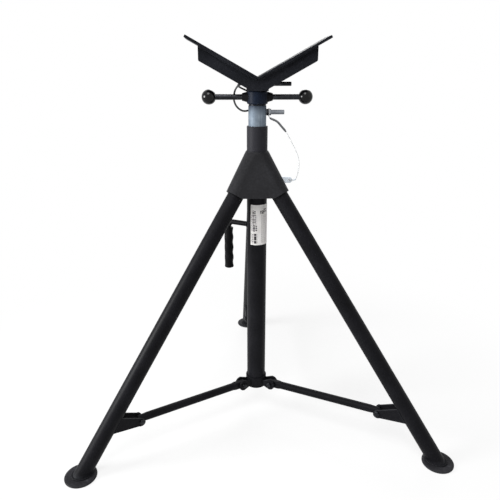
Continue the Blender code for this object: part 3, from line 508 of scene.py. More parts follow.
# %% Label film
# Each field of bars: where it lies round the column and up it, a bar's length, the pitch, and two inks (m)
LABEL_BARS = [((0.0015, 0.0165), (0.036, 0.078), 0.0085, 0.0050, ("#9a9697", "#b9b5b6")),
              ((0.0045, 0.0130), (0.074, 0.090), 0.0080, 0.0045, ("#232023", "#3a3639")),
              ((0.0045, 0.0130), (0.056, 0.070), 0.0070, 0.0045, ("#3a3639", "#5c5759")),
              ((0.0045, 0.0165), (0.036, 0.052), 0.0080, 0.0060, ("#232023", "#46414a")),
              ((0.0015, 0.0092), (0.004, 0.030), 0.0060, 0.0040, ("#6a6668", "#8a8687")),
              ((0.0092, 0.0170), (0.004, 0.030), 0.0120, 0.0078, ("#1f1c1f", "#343034")),
              ((0.0262, 0.0480), (0.006, 0.078), 0.0050, 0.0024, ("#8d8a89", "#b4b1b0")),
              ((0.0240, 0.0335), (0.081, 0.090), 0.0110, 0.0095, ("#2b282a", "#2f2c2e")),
              ((0.0335, 0.0430), (0.085, 0.094), 0.0110, 0.0095, ("#242123", "#2b282a"))]
BAR_GAP = 0.0007


def band(tree, parts, limits):
    """One inside a rectangle of the wrap's own coordinates, and nought outside it."""
    inside = 1.0
    for part, (least, most) in zip(parts, limits):
        for limit, test in ((least, "GREATER_THAN"), (most, "LESS_THAN")):
            passed = node(tree, "Math", {0: part, 1: limit}, operation=test)[0]
            inside = node(tree, "Math", {0: inside, 1: passed}, operation="MULTIPLY")[0]
    return inside


def label_film(name="label_film"):
    """White vinyl film with plain bars in two columns, bold and fine, no lettering.

    Its own map is in metres: round the column first, then up it. The bars lie along the height.
    """
    finish, tree, shader, place = new_finish(name)
    spot = node(tree, "UVMap", {}, uv_map="wrap")["UV"]
    parts = node(tree, "SeparateXYZ", {"Vector": spot})
    upright = node(tree, "CombineXYZ", {"X": parts["Y"], "Y": parts["X"]})[0]
    dirt = node(tree, "TexNoise", {"Vector": place, "Scale": per_metre(25), "Detail": 5.0})["Fac"]
    film = node(tree, "ValToRGB", {"Fac": dirt}, [(0.30, "#dcd9d6"), (0.65, "#f0eeec")])["Color"]
    for across, along, length, pitch, inks in LABEL_BARS:
        first, second = map(linear, inks)
        bars = node(tree, "TexBrick", {"Vector": upright, "Color1": first, "Color2": second,
                                       "Mortar": linear("#e6e3e1"), "Scale": 1.0, "Mortar Size": BAR_GAP,
                                       "Brick Width": length, "Row Height": pitch}, offset=0.37, squash=0.6)
        inside = band(tree, parts, (across, along))
        film = node(tree, "Mix", {0: inside, 6: film, 7: bars["Color"]}, data_type="RGBA")[2]
    rough = node(tree, "MapRange", {"Value": dirt, "To Min": 0.30, "To Max": 0.48})[0]
    wire(tree, shader, {"Base Color": film, "Roughness": rough})
    return finish


# %% The finishes of this stand
nut_foot, nut_top = extent("jack_nut")
hub_foot, hub_top = extent("hub_shroud")
POWDER = powder_coat("black_powder_coat", ("#0b0b0d", "#111114", "#19191c"))
# The hub's coat is paler than the rest: painted sheen on its flare, which faces up into the light
HUB_POWDER = powder_coat("lit_hub_powder_coat", ("#1c1c1e", "#242426", "#2c2c2f"))
# The column's coat turns paler above the hub: painted light falling on its top
COLUMN_POWDER = powder_coat("column_powder_coat", ("#0f0f12", "#161619", "#1e1e22"),
                            painted_light_above=(hub_top, "#26262a"))
HEAD_POWDER = powder_coat("matt_powder_coat", ("#141518", "#1b1c20", "#242529"), gloss=0.03)
# The feet's coat is paler than the legs': painted light on their upturned tops
FOOT_POWDER = powder_coat("lit_foot_powder_coat", ("#1e1e20", "#2a2a2d", "#37373a"))
# The nut's coat is tinted blue black
NUT_POWDER = powder_coat("blue_black_powder_coat", ("#0c111b", "#121824", "#19202e"))
BRIGHT_ZINC = ("#5b6570", "#747e88", "#8f98a1")
ZINC = zinc_plate("zinc_plate", BRIGHT_ZINC)
PALE_ZINC = zinc_plate("clear_zinc", ("#b4bcc4", "#cad0d6", "#dfe3e6"))
# The sleeve's zinc darkens just under the nut: painted shade of the nut
NUT_SHADED_ZINC = zinc_plate("zinc_with_painted_nut_shade", BRIGHT_ZINC, (nut_foot - 0.026, nut_foot + 0.006))
PIN_ZINC = zinc_plate("worn_pin_zinc", ("#686c71", "#84888d", "#9fa3a8"))
OXIDE = black_oxide("black_oxide_steel", ("#1a1b1d", "#26272a", "#34363a"), 0.28, 0.46)
BURNISHED = black_oxide("burnished_bar", ("#242528", "#2c2d30", "#36383b"), 0.14, 0.22)
PHENOLIC = phenolic()
VINYL = vinyl()
LABEL = label_film()
LANYARD_COAT = cable_coat("lanyard_cable", "#b4b7b9", "#dcdedf", 260.0)
CRIMP_COAT = cable_coat("lanyard_crimp", "#2c2d30", "#55585b", 24.0)
LOOP_COAT = cable_coat("loop_cable", "#141518", "#2a2b2f", 90.0)

# %% [markdown]
# ## The two cables
# A thin coated cable ties the lock pin to a tab on the hub, and hangs in a slack bow. A thicker loop hangs
# from the head pin's left end as its pull. Both routes were chosen along the picture and are the ones that
# the solids follow.

# %% Routes of the cables
LANYARD_D = 0.002
LANYARD_ROUTE = [(0.0275, 0.0000, 0.8153), (0.0280, -0.0002, 0.8124), (0.0320, -0.0022, 0.8084),
                 (0.0463, -0.0067, 0.8019), (0.0581, -0.0092, 0.7894), (0.0677, -0.0115, 0.7780),
                 (0.0798, -0.0139, 0.7573), (0.0897, -0.0162, 0.7387), (0.0980, -0.0182, 0.7180),
                 (0.0998, -0.0202, 0.7000), (0.0978, -0.0216, 0.6820), (0.0938, -0.0224, 0.6700),
                 (0.0890, -0.0226, 0.6657), (0.0844, -0.0226, 0.6653)]
LOOP_D = 0.0045
LOOP_ROUTE = [(-0.0350, -0.0026, 0.8863), (-0.0433, -0.0019, 0.8832), (-0.0496, 0.0009, 0.8765),
              (-0.0529, 0.0052, 0.8686), (-0.0545, 0.0092, 0.8600), (-0.0546, 0.0126, 0.8510),
              (-0.0523, 0.0160, 0.8423), (-0.0478, 0.0193, 0.8345), (-0.0412, 0.0226, 0.8283),
              (-0.0331, 0.0258, 0.8244), (-0.0240, 0.0287, 0.8240), (-0.0153, 0.0312, 0.8272),
              (-0.0084, 0.0330, 0.8336), (-0.0047, 0.0343, 0.8423), (-0.0053, 0.0350, 0.8518),
              (-0.0096, 0.0350, 0.8604), (-0.0168, 0.0345, 0.8667), (-0.0251, 0.0327, 0.8711),
              (-0.0332, 0.0291, 0.8748), (-0.0401, 0.0233, 0.8782), (-0.0444, 0.0155, 0.8817),
              (-0.0428, 0.0072, 0.8850), (-0.0356, 0.0031, 0.8863)]


# %% Maps along a cable
def vertices(mesh):
    """The places of a mesh's vertices."""
    return np.array([v.co for v in mesh.vertices])


def store_wrap(mesh, uv):
    """Keeps two coordinates of every vertex as the mesh's own map."""
    corner = np.array([loop.vertex_index for loop in mesh.loops])
    mesh.uv_layers.new(name="wrap").data.foreach_set("uv", uv[corner].astype(np.float32).ravel())


def wrap_cable(mesh, path, level):
    """A map of a cable's surface: along the path as a share of its length, and round it in turns."""
    place = vertices(mesh)
    near = np.linalg.norm(place[:, None] - path[None], axis=-1).argmin(axis=1)
    run = np.concatenate([[0], np.cumsum(np.linalg.norm(np.diff(path, axis=0), axis=1))])
    off = place - path[near]
    turn = np.arctan2(off @ np.cross(level, np.gradient(path, axis=0)[near].mean(0)), off @ np.asarray(level))
    store_wrap(mesh, np.stack([run[near] / run[-1], turn / (2 * np.pi) + 0.5], axis=1))
    return run[-1]


# %% Lanyard
lanyard_path = smooth_route(LANYARD_ROUTE) + AXIS
lanyard = show("pin_lanyard_cable", [sheet(sweep(lanyard_path, LANYARD_D / 2, 12))], LANYARD_COAT,
               "pin_lanyard")
lanyard_length = wrap_cable(lanyard.data, lanyard_path, AWAY)

# Near the pin the cable runs through a dark crimped sleeve, which bends along with it
CRIMP_START, CRIMP_END, CRIMP_R, CRIMP_TAPER = 10, 31, 0.0026, 3
crimp_path = lanyard_path[CRIMP_START:CRIMP_END]
from_end = np.minimum(np.arange(len(crimp_path)), np.arange(len(crimp_path))[::-1])
crimp_radius = LANYARD_D / 2 + (CRIMP_R - LANYARD_D / 2) * np.clip((from_end + 1) / CRIMP_TAPER, 0, 1)
crimp = show("lanyard_crimp", [sheet(sweep(crimp_path, crimp_radius, 16))], CRIMP_COAT)
wrap_cable(crimp.data, crimp_path, AWAY)
for piece in (lanyard, crimp):
    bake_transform(piece)

# %% Pull loop
loop_path = smooth_route(LOOP_ROUTE) + AXIS
loop_level = np.linalg.svd(loop_path - loop_path.mean(0))[2][2]
pull_loop = add("head_pin_loop", [sheet(sweep(loop_path, LOOP_D / 2, 16, loop_level))], LOOP_COAT, "top_pin",
                "pin_pull_loop")
loop_length = wrap_cable(pull_loop.data, loop_path, loop_level)
print("lanyard %.3f m, loop %.3f m" % (lanyard_length, loop_length))

# %% [markdown]
# ## Column, end plug and guide sleeve
# The column is plain steel tube, so it is a ring section turned about its axis. Only the four corners of
# the section need care: a cut tube end is broken to a small radius, and that thin bright line is what the
# eye reads as a tube with a wall. The zinc sleeve stands in the column's top and is drilled for the pin.

# %% Column and end plug
COLUMN_WALL, TUBE_EDGE = 0.0035, 0.0008
COLUMN_R = half_width("column_tube")
COLUMN_BORE = COLUMN_R - COLUMN_WALL
column_foot, column_top = extent("column_tube")
add("column", [turned(ring_profile(COLUMN_R, COLUMN_BORE, column_foot, column_top, TUBE_EDGE), hollow=True)],
    COLUMN_POWDER, "base", "column_tube")

PLUG_R = half_width("column_end_plug")
plug_foot, plug_top = extent("column_end_plug")
flange_top, spigot_r = column_foot - SEAT_GAP, COLUMN_BORE - SEAT_GAP
plug = soften([(0, plug_top), (spigot_r, plug_top), (spigot_r, flange_top), (PLUG_R, flange_top),
               (PLUG_R, plug_foot), (0, plug_foot)], TUBE_EDGE, closed=False)
add("end_plug", [turned(plug)], POWDER, "base", "column_end_plug")


# %% Drilled guide sleeve
def drilled(piece, holes):
    """Cuts round holes with one Boolean, and keeps the cut mesh."""
    cutter = link("drill", mesh_of("drill", holes))
    cut = piece.modifiers.new("holes", "BOOLEAN")
    cut.object = cutter
    cut.solver = "EXACT"
    graph = bpy.context.evaluated_depsgraph_get()
    mesh = bpy.data.meshes.new_from_object(piece.evaluated_get(graph))
    piece.modifiers.clear()
    piece.data = mesh
    bpy.data.objects.remove(cutter)
    mesh.set_sharp_from_angle(angle=SHARP)


def pin_hole(height, end, sides=40):
    """A closed round bar along X, from inside the mast outwards, at a height."""
    return turned(rod_profile(PIN_HOLE_R, PIN_HOLE_START, end), AXIS + UP * height, LYING, sides)


def long_ring(outer, inner, bottom, top, edge, spacing):
    """A ring section with points spread up its walls, so that holes cut into small faces."""
    profile = ring_profile(outer, inner, bottom, top, edge)
    heights = np.arange(bottom + 2 * edge + spacing, top - 2 * edge, spacing)
    walls = np.stack([np.full(len(heights), outer), heights[::-1]], 1)
    bores = np.stack([np.full(len(heights), inner), heights], 1)
    corner = len(profile) // 4
    return np.vstack([profile[:corner], walls, profile[corner:3 * corner], bores, profile[3 * corner:]])


PIN_HOLE_R, PIN_HOLE_START = 0.00565, 0.004
LOCK_Z = centre("mast_pin")[2]
SLEEVE_WALL = 0.003
SLEEVE_R = half_width("guide_sleeve")
sleeve = long_ring(SLEEVE_R, SLEEVE_R - SLEEVE_WALL, *extent("guide_sleeve"), TUBE_EDGE, 0.003)
zinc_sleeve = add("zinc_guide_sleeve", [turned(sleeve, hollow=True)], NUT_SHADED_ZINC, "base", "guide_sleeve")
drilled(zinc_sleeve, [pin_hole(LOCK_Z, SLEEVE_R * 1.4)])
print("column radius %.4f, sleeve radius %.4f" % (COLUMN_R, SLEEVE_R))

# %% [markdown]
# ## Hub shroud
# The flared hub is a pressed steel skirt. Its section at any height is the outline round three circles,
# one towards each leg, and both the circles' spread and their radius change in a straight line from top to
# bottom. The outer wall, the rims and the inner wall are one grid that closes both ways.

# %% Hub
HUB_WALL = 0.0022
HUB_TOP_SPREAD, HUB_TOP_ROUND = 0.0025, 0.02634
HUB_BOTTOM_SPREAD, HUB_BOTTOM_ROUND = 0.0675, 0.024
HUB_HEIGHT = 0.1025
MOUTH_R, MOUTH_SLOPE = 0.062, math.tan(math.radians(35.0))
LEGS = {"left": 210.0, "right": 330.0, "rear": 90.0}
leg_turns = np.radians(sorted(LEGS.values()))
LEG_WAYS = np.stack([np.cos(leg_turns), np.sin(leg_turns)])


def hub_section(spread, rounding, arc_steps=24, flat_steps=26):
    """Three arcs of 120 degrees, each about its own centre, joined by straight flats."""
    turn = leg_turns[:, None] + np.radians(np.linspace(-60, 60, arc_steps))[None]
    arcs = np.stack([spread * np.cos(leg_turns)[:, None] + rounding * np.cos(turn),
                     spread * np.sin(leg_turns)[:, None] + rounding * np.sin(turn)], axis=-1)
    share = np.linspace(0, 1, flat_steps + 2)[1:-1][None, :, None]
    flats = arcs[:, -1:] * (1 - share) + np.roll(arcs, -1, 0)[:, :1] * share
    return np.concatenate([arcs, flats], axis=1).reshape(-1, 2)


def hub_row(inset, part, drop=0.0):
    """One row of the wall, at the same part of every line from the hub's top to its rim.

    Each line runs straight down the flare. Its reach towards a leg and its height change evenly along it,
    so the share at which it meets the mouth's slope, height = (reach - mouth) slope, has a closed form.
    """
    top = hub_section(HUB_TOP_SPREAD, HUB_TOP_ROUND - inset)
    foot = hub_section(HUB_BOTTOM_SPREAD, HUB_BOTTOM_ROUND - inset)
    near, far = top @ LEG_WAYS, foot @ LEG_WAYS
    meet = (HUB_HEIGHT - (near - MOUTH_R) * MOUTH_SLOPE) / (HUB_HEIGHT + (far - near) * MOUTH_SLOPE)
    share = part * np.minimum(meet.min(axis=1), 1.0)[:, None]
    return np.hstack([top + (foot - top) * share, hub_top - HUB_HEIGHT * share - drop])


RIM_RISE = 0.35
hub_parts = np.linspace(0, 1, 25)
rim_turn = np.linspace(0, np.pi, 7)[1:-1]
rim = HUB_WALL / 2 * np.stack([1 - np.cos(rim_turn), RIM_RISE * np.sin(rim_turn)], 1)
hub = [hub_row(0.0, part) for part in hub_parts]
hub += [hub_row(inset, 1.0, drop) for inset, drop in rim]
hub += [hub_row(HUB_WALL, part) for part in hub_parts[::-1]]
hub += [hub_row(inset, 0.0, -rise) for inset, rise in rim[::-1]]
add("hub_skirt", [sheet(np.array(hub) + AXIS, True)], HUB_POWDER, "base", "hub_shroud")
print("hub from %.3f to %.3f" % (hub_foot, hub_top))

# %% Hub weld and lanyard tab
BEAD_RIPPLE, BEAD_PITCH = 0.12, 0.0032
HUB_BEAD_R, BEAD_LIFT = 0.0019, 0.0006


def weld_bead(path, radius, level, closed=True):
    """A weld bead: a tube whose radius swells at every step of the torch, as |sin(pi n run)|."""
    step = np.linalg.norm(np.diff(path, axis=0, append=path[:1]), axis=1)
    run = np.cumsum(step) - step[0]
    count = max(1, round(run[-1] / BEAD_PITCH))
    swell = radius * (1 + BEAD_RIPPLE * np.abs(np.sin(np.pi * count * run / run[-1])))
    return sheet(sweep(path, swell, 10, level, closed), close_rows=closed)


hub_bead = circle_path(AXIS + UP * (hub_top + BEAD_LIFT), COLUMN_R + BEAD_LIFT, ACROSS, AWAY, 360)
add("hub_weld", [weld_bead(hub_bead, HUB_BEAD_R, UP)], HUB_POWDER, "base")

TAB_SLANT, TAB_EDGE, TAB_BACK, TAB_HOLE_R, DRILL_HALF = 0.0074, 0.0006, 0.004, 0.003, 0.01
tab_low, tab_high = span("lanyard_lug")
tab_seat = centre("lanyard_lug") * (AWAY + UP)
tab_r = half_width("lanyard_lug", 2)
tab_end = tab_high[0] - tab_r
tab_outline = np.vstack([[(tab_low[0], tab_r), (tab_low[0] + TAB_SLANT, -tab_r)],
                         arc(tab_r, -np.pi / 2, np.pi / 2, 24) + [tab_end, 0]])
tab = plate(tab_outline, tab_high[1] - tab_low[1], TAB_EDGE, (tab_end - TAB_BACK, 0), tab_seat, FACING)
lanyard_tab = add("lanyard_tab", [tab], PALE_ZINC, "base", "lanyard_lug")
tab_drill = rod_profile(TAB_HOLE_R, -DRILL_HALF, DRILL_HALF)
drilled(lanyard_tab, [turned(tab_drill, tab_seat + ACROSS * tab_end, FACING, 32)])
print("tab ends at %.3f" % tab_high[0])

# %% [markdown]
# ## Legs and feet
# Each leg is a tube that leans out at 35 degrees and is cut flat where it meets its foot plate. The tube's
# rows run along it, and the last row is pushed to the plate: each point travels on until it reaches the
# plate's height. The round foot is a turned plate with a rolled edge, and a weld bead closes the joint.

# %% Legs
LEG_WALL = 0.0026
LEG_R = half_width("leg_tube_rear")
LEG_ROWS = np.array([0, 0.002, 0.02, 0.25, 0.5, 0.75, 0.98, 1.0])[:, None, None]
EYE_SHOULDER = 0.0195
FOOT_R = half_width("foot_disc_rear")
FOOT_EDGE, FOOT_CROWN, FOOT_RIM = 0.0016, 0.86, 0.72
FOOT_BEAD_R, FOOT_BEAD_OUT, FOOT_BEAD_LIFT = 0.0026, 0.0005, 0.0004


def leg_frame(side):
    """A leg's pivot, its foot on the floor, the foot's top, and the ways down, inwards and level."""
    fold = joints[side + "_leg_fold"]
    pivot, level = np.array(fold["pos_m"]), np.array(fold["axis"])
    least, foot_top = extent("foot_disc_" + side)
    foot = centre("foot_disc_" + side) * LEVEL + UP * least
    down = unit(foot - pivot)
    inward = np.cross(down, level)
    inward = inward * np.sign(inward @ (AXIS - foot))
    return SimpleNamespace(pivot=pivot, foot=foot, foot_top=foot_top, down=down, inward=inward, level=level)


def cut_tube(leg, radius, cut_height):
    """Rings square to the leg at its top, run on to a level cut: along = (height of ring - cut) / slope."""
    first = circle_path(leg.pivot + leg.down * EYE_SHOULDER, radius, leg.inward, leg.level, ROUND_SIDES)
    along = (first[:, 2] - cut_height) / -leg.down[2]
    return first, first + along[:, None] * leg.down


legs = {side: leg_frame(side) for side in LEGS}
for side, leg in legs.items():
    body = side + "_leg"
    cut = leg.foot_top + SEAT_GAP
    walls = []
    for radius in (LEG_R, LEG_R - LEG_WALL):
        first, last = cut_tube(leg, radius, cut)
        walls.append(first * (1 - LEG_ROWS) + last * LEG_ROWS)
    tube = np.concatenate([walls[0], walls[1][::-1]])
    add("leg_" + side, [sheet(tube, True)], POWDER, body, "leg_tube_" + side)

    rise = leg.foot_top - leg.foot[2]
    disc = soften([(0, rise), (FOOT_R * FOOT_CROWN, rise), (FOOT_R, rise * FOOT_RIM), (FOOT_R, 0), (0, 0)],
                  FOOT_EDGE, closed=False)
    add("foot_plate_" + side, [turned(disc, leg.foot)], FOOT_POWDER, body, "foot_disc_" + side)

    seam = cut_tube(leg, LEG_R + FOOT_BEAD_OUT, cut + FOOT_BEAD_LIFT)[1][:, None]
    dense = np.linspace(0, 1, 5)[:-1][None, :, None]
    bead = (seam * (1 - dense) + np.roll(seam, -1, 0) * dense).reshape(-1, 3)
    add("foot_weld_" + side, [weld_bead(bead, FOOT_BEAD_R, UP)], POWDER, body)
print("leg radius %.4f" % LEG_R)

# %% [markdown]
# ## Brace ears and bolts
# On the inner side of each leg two ears reach out to the brace. They are flat plates with a round nose, cut
# to the tube at their root. A hexagon bolt head sits on the outside of each ear, with a washer under it, and
# a spacer fills the gap beside the brace.

# %% Bolts
HEX_TRIM, HEX_CROWN, HEX_BEVEL = 1.04, 0.90, 0.7


def hex_head(across, height, edge=0.0006):
    """A hexagon bolt head with a turned chamfer: six flats, and a cone that trims its corners."""
    a = circle_of(ROUND_SIDES)
    flat = np.cos(np.pi / 6) / np.cos((a + np.pi / 6) % (np.pi / 3) - np.pi / 6)
    six = across / 2 / np.cos(np.pi / 6) * flat
    trim = np.minimum(six, across / 2 * HEX_TRIM)
    steps = [(0 * a, height), (trim * HEX_CROWN, height), (trim, height - edge * HEX_BEVEL),
             (six, height - 2 * edge), (six, 0.0), (0 * a, 0.0)]
    return np.stack([np.stack([r * np.cos(a), r * np.sin(a), h + 0 * a], 1) for r, h in steps])


def washer(seat, axes, outer, inner, thickness, edge=0.0003):
    """A flat washer from its section, lying on a seat."""
    return turned(ring_profile(outer, inner, 0.0, thickness, edge), seat, axes, 48, hollow=True)


def bolt_head(seat, axes, washer_size, head_size, sunk):
    """A hexagon head on its washer, standing on a seat."""
    head = placed(hex_head(*head_size), seat + axes[2] * sunk, axes)
    return [washer(seat, axes, *washer_size), sheet(head)]


# %% Ears
EAR_OFFSET, EAR_FROM_FLOOR = 0.070, 0.1723
EAR_THICKNESS, EAR_GAP = 0.004, 0.021
EAR_TIP_R, EAR_NOSE_Y, EAR_ROOT_TOP, EAR_ROOT_FOOT = 0.011, -0.0035, -0.008, -0.054
EAR_MIDDLE = (-EAR_OFFSET * 0.64, -0.014)
EAR_WASHER, EAR_HEAD, EAR_SPACER = (0.0072, 0.003, 0.0013), (0.0115, 0.0042), (0.0062, 0.003, 0.0016)
EAR_EDGE, EAR_SUNK, SPACER_INSET = 0.0007, 0.0002, 0.0017
EAR_BEAD_R, EAR_BEAD_END = 0.0019, 0.002
ear_side = EAR_GAP / 2 + EAR_THICKNESS


def ear_outline():
    """A nose round the brace's pivot, widening to the root on the leg's axis."""
    nose = arc(EAR_TIP_R, np.pi / 2, 3 * np.pi / 2, 28) + [-EAR_OFFSET, EAR_NOSE_Y]
    inner_x = -math.sqrt(LEG_R ** 2 - ear_side ** 2) - SEAT_GAP
    share = 1 + inner_x / EAR_OFFSET
    top = nose[0, 1] + (EAR_ROOT_TOP - nose[0, 1]) * share
    foot = nose[-1, 1] + (EAR_ROOT_FOOT - nose[-1, 1]) * share
    return np.vstack([nose, [(inner_x, foot), (inner_x, top)]])


EAR_SHAPE = ear_outline()
(root_x, root_foot), (root_x, root_top) = EAR_SHAPE[-2:]
for side, leg in legs.items():
    body = side + "_leg"
    seat = leg.pivot + leg.down * (np.linalg.norm(leg.foot - leg.pivot) - EAR_FROM_FLOOR)
    leg.ear_hole = seat + leg.inward * EAR_OFFSET
    leg_axes = (-leg.inward, -leg.down, leg.level)
    for letter, hand in (("a", 1), ("b", -1)):
        name = "%s_%s" % (side, letter)
        way = leg.level * hand
        ear_middle = seat + way * (EAR_GAP + EAR_THICKNESS) / 2
        ear = plate(EAR_SHAPE, EAR_THICKNESS, EAR_EDGE, EAR_MIDDLE, ear_middle, leg_axes)
        add("ear_" + name, [ear], POWDER, body, "brace_ear_" + name)
        bolt_axes = (leg.inward, -leg.down, way)
        bolt = bolt_head(leg.ear_hole + way * ear_side, bolt_axes, EAR_WASHER, EAR_HEAD, EAR_SUNK)
        bolt.append(washer(leg.ear_hole + way * (EAR_GAP / 2 - SPACER_INSET), bolt_axes, *EAR_SPACER))
        add("ear_bolt_" + name, bolt, OXIDE, body)
        seam = np.linspace((root_x, root_foot + EAR_BEAD_END, hand * ear_side),
                           (root_x, root_top - EAR_BEAD_END, hand * ear_side), 90)
        bead = weld_bead(placed(seam, seat, leg_axes), EAR_BEAD_R, leg.level, closed=False)
        add("ear_weld_" + name, [bead], POWDER, body)
print("ears on", len(legs), "legs")

# %% [markdown]
# ## Braces and sliding collar
# A brace is a round bar with a flattened eye. It is one loft: at each place along it the section has a half
# width and a half height, and a power that turns the round bar's ellipse into the eye's rounded block. The
# collar is a short ring that slides on the column, with a pair of round bosses for each brace.

# %% Braces
BRACE_R, BRACE_END_R = 0.010, 0.0085
EYE_R, EYE_HALF = 0.0105, 0.007
BRACE_NECK, BRACE_TAPER = 0.022, 0.020
NECK_START, NECK_RUN, NECK_END = 0.7, 0.8, 1.5
BAR_POWER, EYE_POWER = 2, 7


def brace_loft(length):
    """Superellipse sections |y/a|^p + |z/b|^p = 1, with a, b and p changing along the bar."""
    eye = EYE_R * np.cos(np.linspace(np.pi, np.pi / 2, 16, endpoint=False))
    neck = np.linspace(0, BRACE_NECK * NECK_END, 18)
    bar = np.linspace(BRACE_NECK * NECK_END, length - BRACE_TAPER, 12)[1:]
    taper = np.linspace(length - BRACE_TAPER, length, 8)[1:]
    tip = length + BRACE_END_R * np.sin(np.linspace(0, np.pi / 2, 12))[1:]
    x = np.concatenate([eye, neck, bar, taper, tip])
    blend = np.clip((x - BRACE_NECK * NECK_START) / (BRACE_NECK * NECK_RUN), 0, 1)
    blend = blend * blend * (3 - 2 * blend)
    tall = np.where(x < 0, np.sqrt(np.maximum(EYE_R ** 2 - x ** 2, 0)), EYE_R + (BRACE_R - EYE_R) * blend)
    wide = EYE_HALF + (BRACE_R - EYE_HALF) * blend
    slim = BRACE_R + (BRACE_END_R - BRACE_R) * np.clip((x - (length - BRACE_TAPER)) / BRACE_TAPER, 0, 1)
    round_end = np.sqrt(np.maximum(BRACE_END_R ** 2 - np.maximum(x - length, 0) ** 2, 0))
    slim = np.where(x > length, round_end, slim)
    tall, wide = (np.where(x > length / 2, slim, size)[:, None] for size in (tall, wide))
    power = 2 / (EYE_POWER + (BAR_POWER - EYE_POWER) * blend)[:, None]
    c, s = arc(1.0, 0, 2 * np.pi, 65)[None, :-1].transpose(2, 0, 1)
    y = wide * np.sign(c) * np.abs(c) ** power
    z = tall * np.sign(s) * np.abs(s) ** power
    rows = np.stack([np.broadcast_to(x[:, None], y.shape), y, z], axis=-1)
    return np.concatenate([rows[:1] * ACROSS, rows])


for side, leg in legs.items():
    inner = np.array(joints[side + "_brace_fold"]["pos_m"])
    way = leg.ear_hole - inner
    rise = np.cross(unit(way), leg.level)
    bar = placed(brace_loft(np.linalg.norm(way)), inner, (unit(way), leg.level, rise * np.sign(rise[2])))
    add("brace_bar_" + side, [sheet(bar)], POWDER, side + "_brace", "brace_" + side)
print("brace length %.3f" % np.linalg.norm(way))

# %% Collar
COLLAR_EAR_R, COLLAR_EAR_T, COLLAR_EAR_ROOT, COLLAR_EAR_SINK = 0.0155, 0.005, 0.0065, 0.0009
COLLAR_EAR_EDGE, COLLAR_EAR_MIDDLE = 0.0008, (-0.004, 0)
COLLAR_SLOT, COLLAR_PLAY, COLLAR_EDGE, COLLAR_SUNK = 0.0146, 0.0004, 0.001, 0.0004
COLLAR_WASHER, COLLAR_HEAD = (0.0065, 0.002, 0.0012), (0.0108, 0.0036)
COLLAR_BOLT_R, COLLAR_BOLT_HALF = 0.004, 0.0127
COLLAR_BORE = COLUMN_R + COLLAR_PLAY
collar_top = extent("slide_collar")[1]
collar_sheets = [turned(ring_profile(PLUG_R, COLLAR_BORE, column_foot, collar_top, COLLAR_EDGE), hollow=True)]
for side in LEGS:
    fold = joints[side + "_brace_fold"]
    inner, level = np.array(fold["pos_m"]), np.array(fold["axis"])
    out = (inner - AXIS) * LEVEL
    root = COLLAR_BORE - COLLAR_EAR_SINK - np.linalg.norm(out)
    axes = (unit(out), UP, level)
    outline = np.vstack([[(root, COLLAR_EAR_ROOT), (root, -COLLAR_EAR_ROOT)],
                         arc(COLLAR_EAR_R, -np.pi / 2, np.pi / 2, 24)])
    bolt = [turned(rod_profile(COLLAR_BOLT_R, -COLLAR_BOLT_HALF, COLLAR_BOLT_HALF), inner, axes, 32)]
    for hand in HANDS.values():
        way = level * hand
        seat = inner + way * (COLLAR_SLOT + COLLAR_EAR_T) / 2
        collar_sheets.append(plate(outline, COLLAR_EAR_T, COLLAR_EAR_EDGE, COLLAR_EAR_MIDDLE, seat, axes))
        bolt += bolt_head(inner + way * (COLLAR_SLOT / 2 + COLLAR_EAR_T + SEAT_GAP), (unit(out), UP, way),
                          COLLAR_WASHER, COLLAR_HEAD, COLLAR_SUNK)
    add("collar_bolt_set_" + side, bolt, OXIDE, "collar", "collar_bolt_" + side)
add("brace_collar", collar_sheets, POWDER, "collar", "slide_collar")
print("collar from %.3f to %.3f" % (column_foot, collar_top))

# %% [markdown]
# ## Carry handle and label
# The handle is a bent rod welded to the column, with a vinyl grip pushed over its hanging end. The grip's
# finger ripples face the column, so its radius depends on both the height and the way it faces. The label
# is a thin film wrapped on the column, with plain bars on it.

# %% Handle
ROD_R, ROD_TIP, BEND_R, ROD_BEAD_R = 0.0065, 0.8, 0.014, 0.0018
rod_foot, rod_top = extent("carry_handle_rod")
rod_z = rod_top - ROD_R
grip_seat = centre("carry_handle_grip") * LEVEL
handle_out = unit(grip_seat - AXIS)
HANDLE_REACH = np.linalg.norm(grip_seat - AXIS)
sideways = np.cross(UP, handle_out)
rod_line = np.vstack([
    np.linspace((COLUMN_R + SEAT_GAP, rod_z), (HANDLE_REACH - BEND_R, rod_z), 10)[:-1],
    arc(BEND_R, np.pi / 2, 0, 20) + [HANDLE_REACH - BEND_R, rod_z - BEND_R],
    np.linspace((HANDLE_REACH, rod_z - BEND_R), (HANDLE_REACH, rod_foot), 12)[1:]])
rod_path = AXIS + rod_line @ np.stack([handle_out, UP])
rod_radius = np.full(len(rod_path), ROD_R)
rod_radius[-1] *= ROD_TIP
add("handle_rod", [sheet(sweep(rod_path, rod_radius, 32, sideways))], POWDER, "base", "carry_handle_rod")
rod_bead = circle_path(AXIS + UP * rod_z + handle_out * (COLUMN_R + 2 * BEAD_LIFT), ROD_R + BEAD_LIFT,
                       sideways, UP, 120)
add("handle_weld", [weld_bead(rod_bead, ROD_BEAD_R, handle_out)], POWDER, "base")
print("handle reach %.3f" % HANDLE_REACH)

# %% Grip
GRIP_R = half_width("carry_handle_grip")
GRIP_RIPPLE, GRIP_RIPPLES, GRIP_FAR, GRIP_ROUND = 0.0018, 4, 0.25, 0.0026
grip_foot, grip_top = extent("carry_handle_grip")


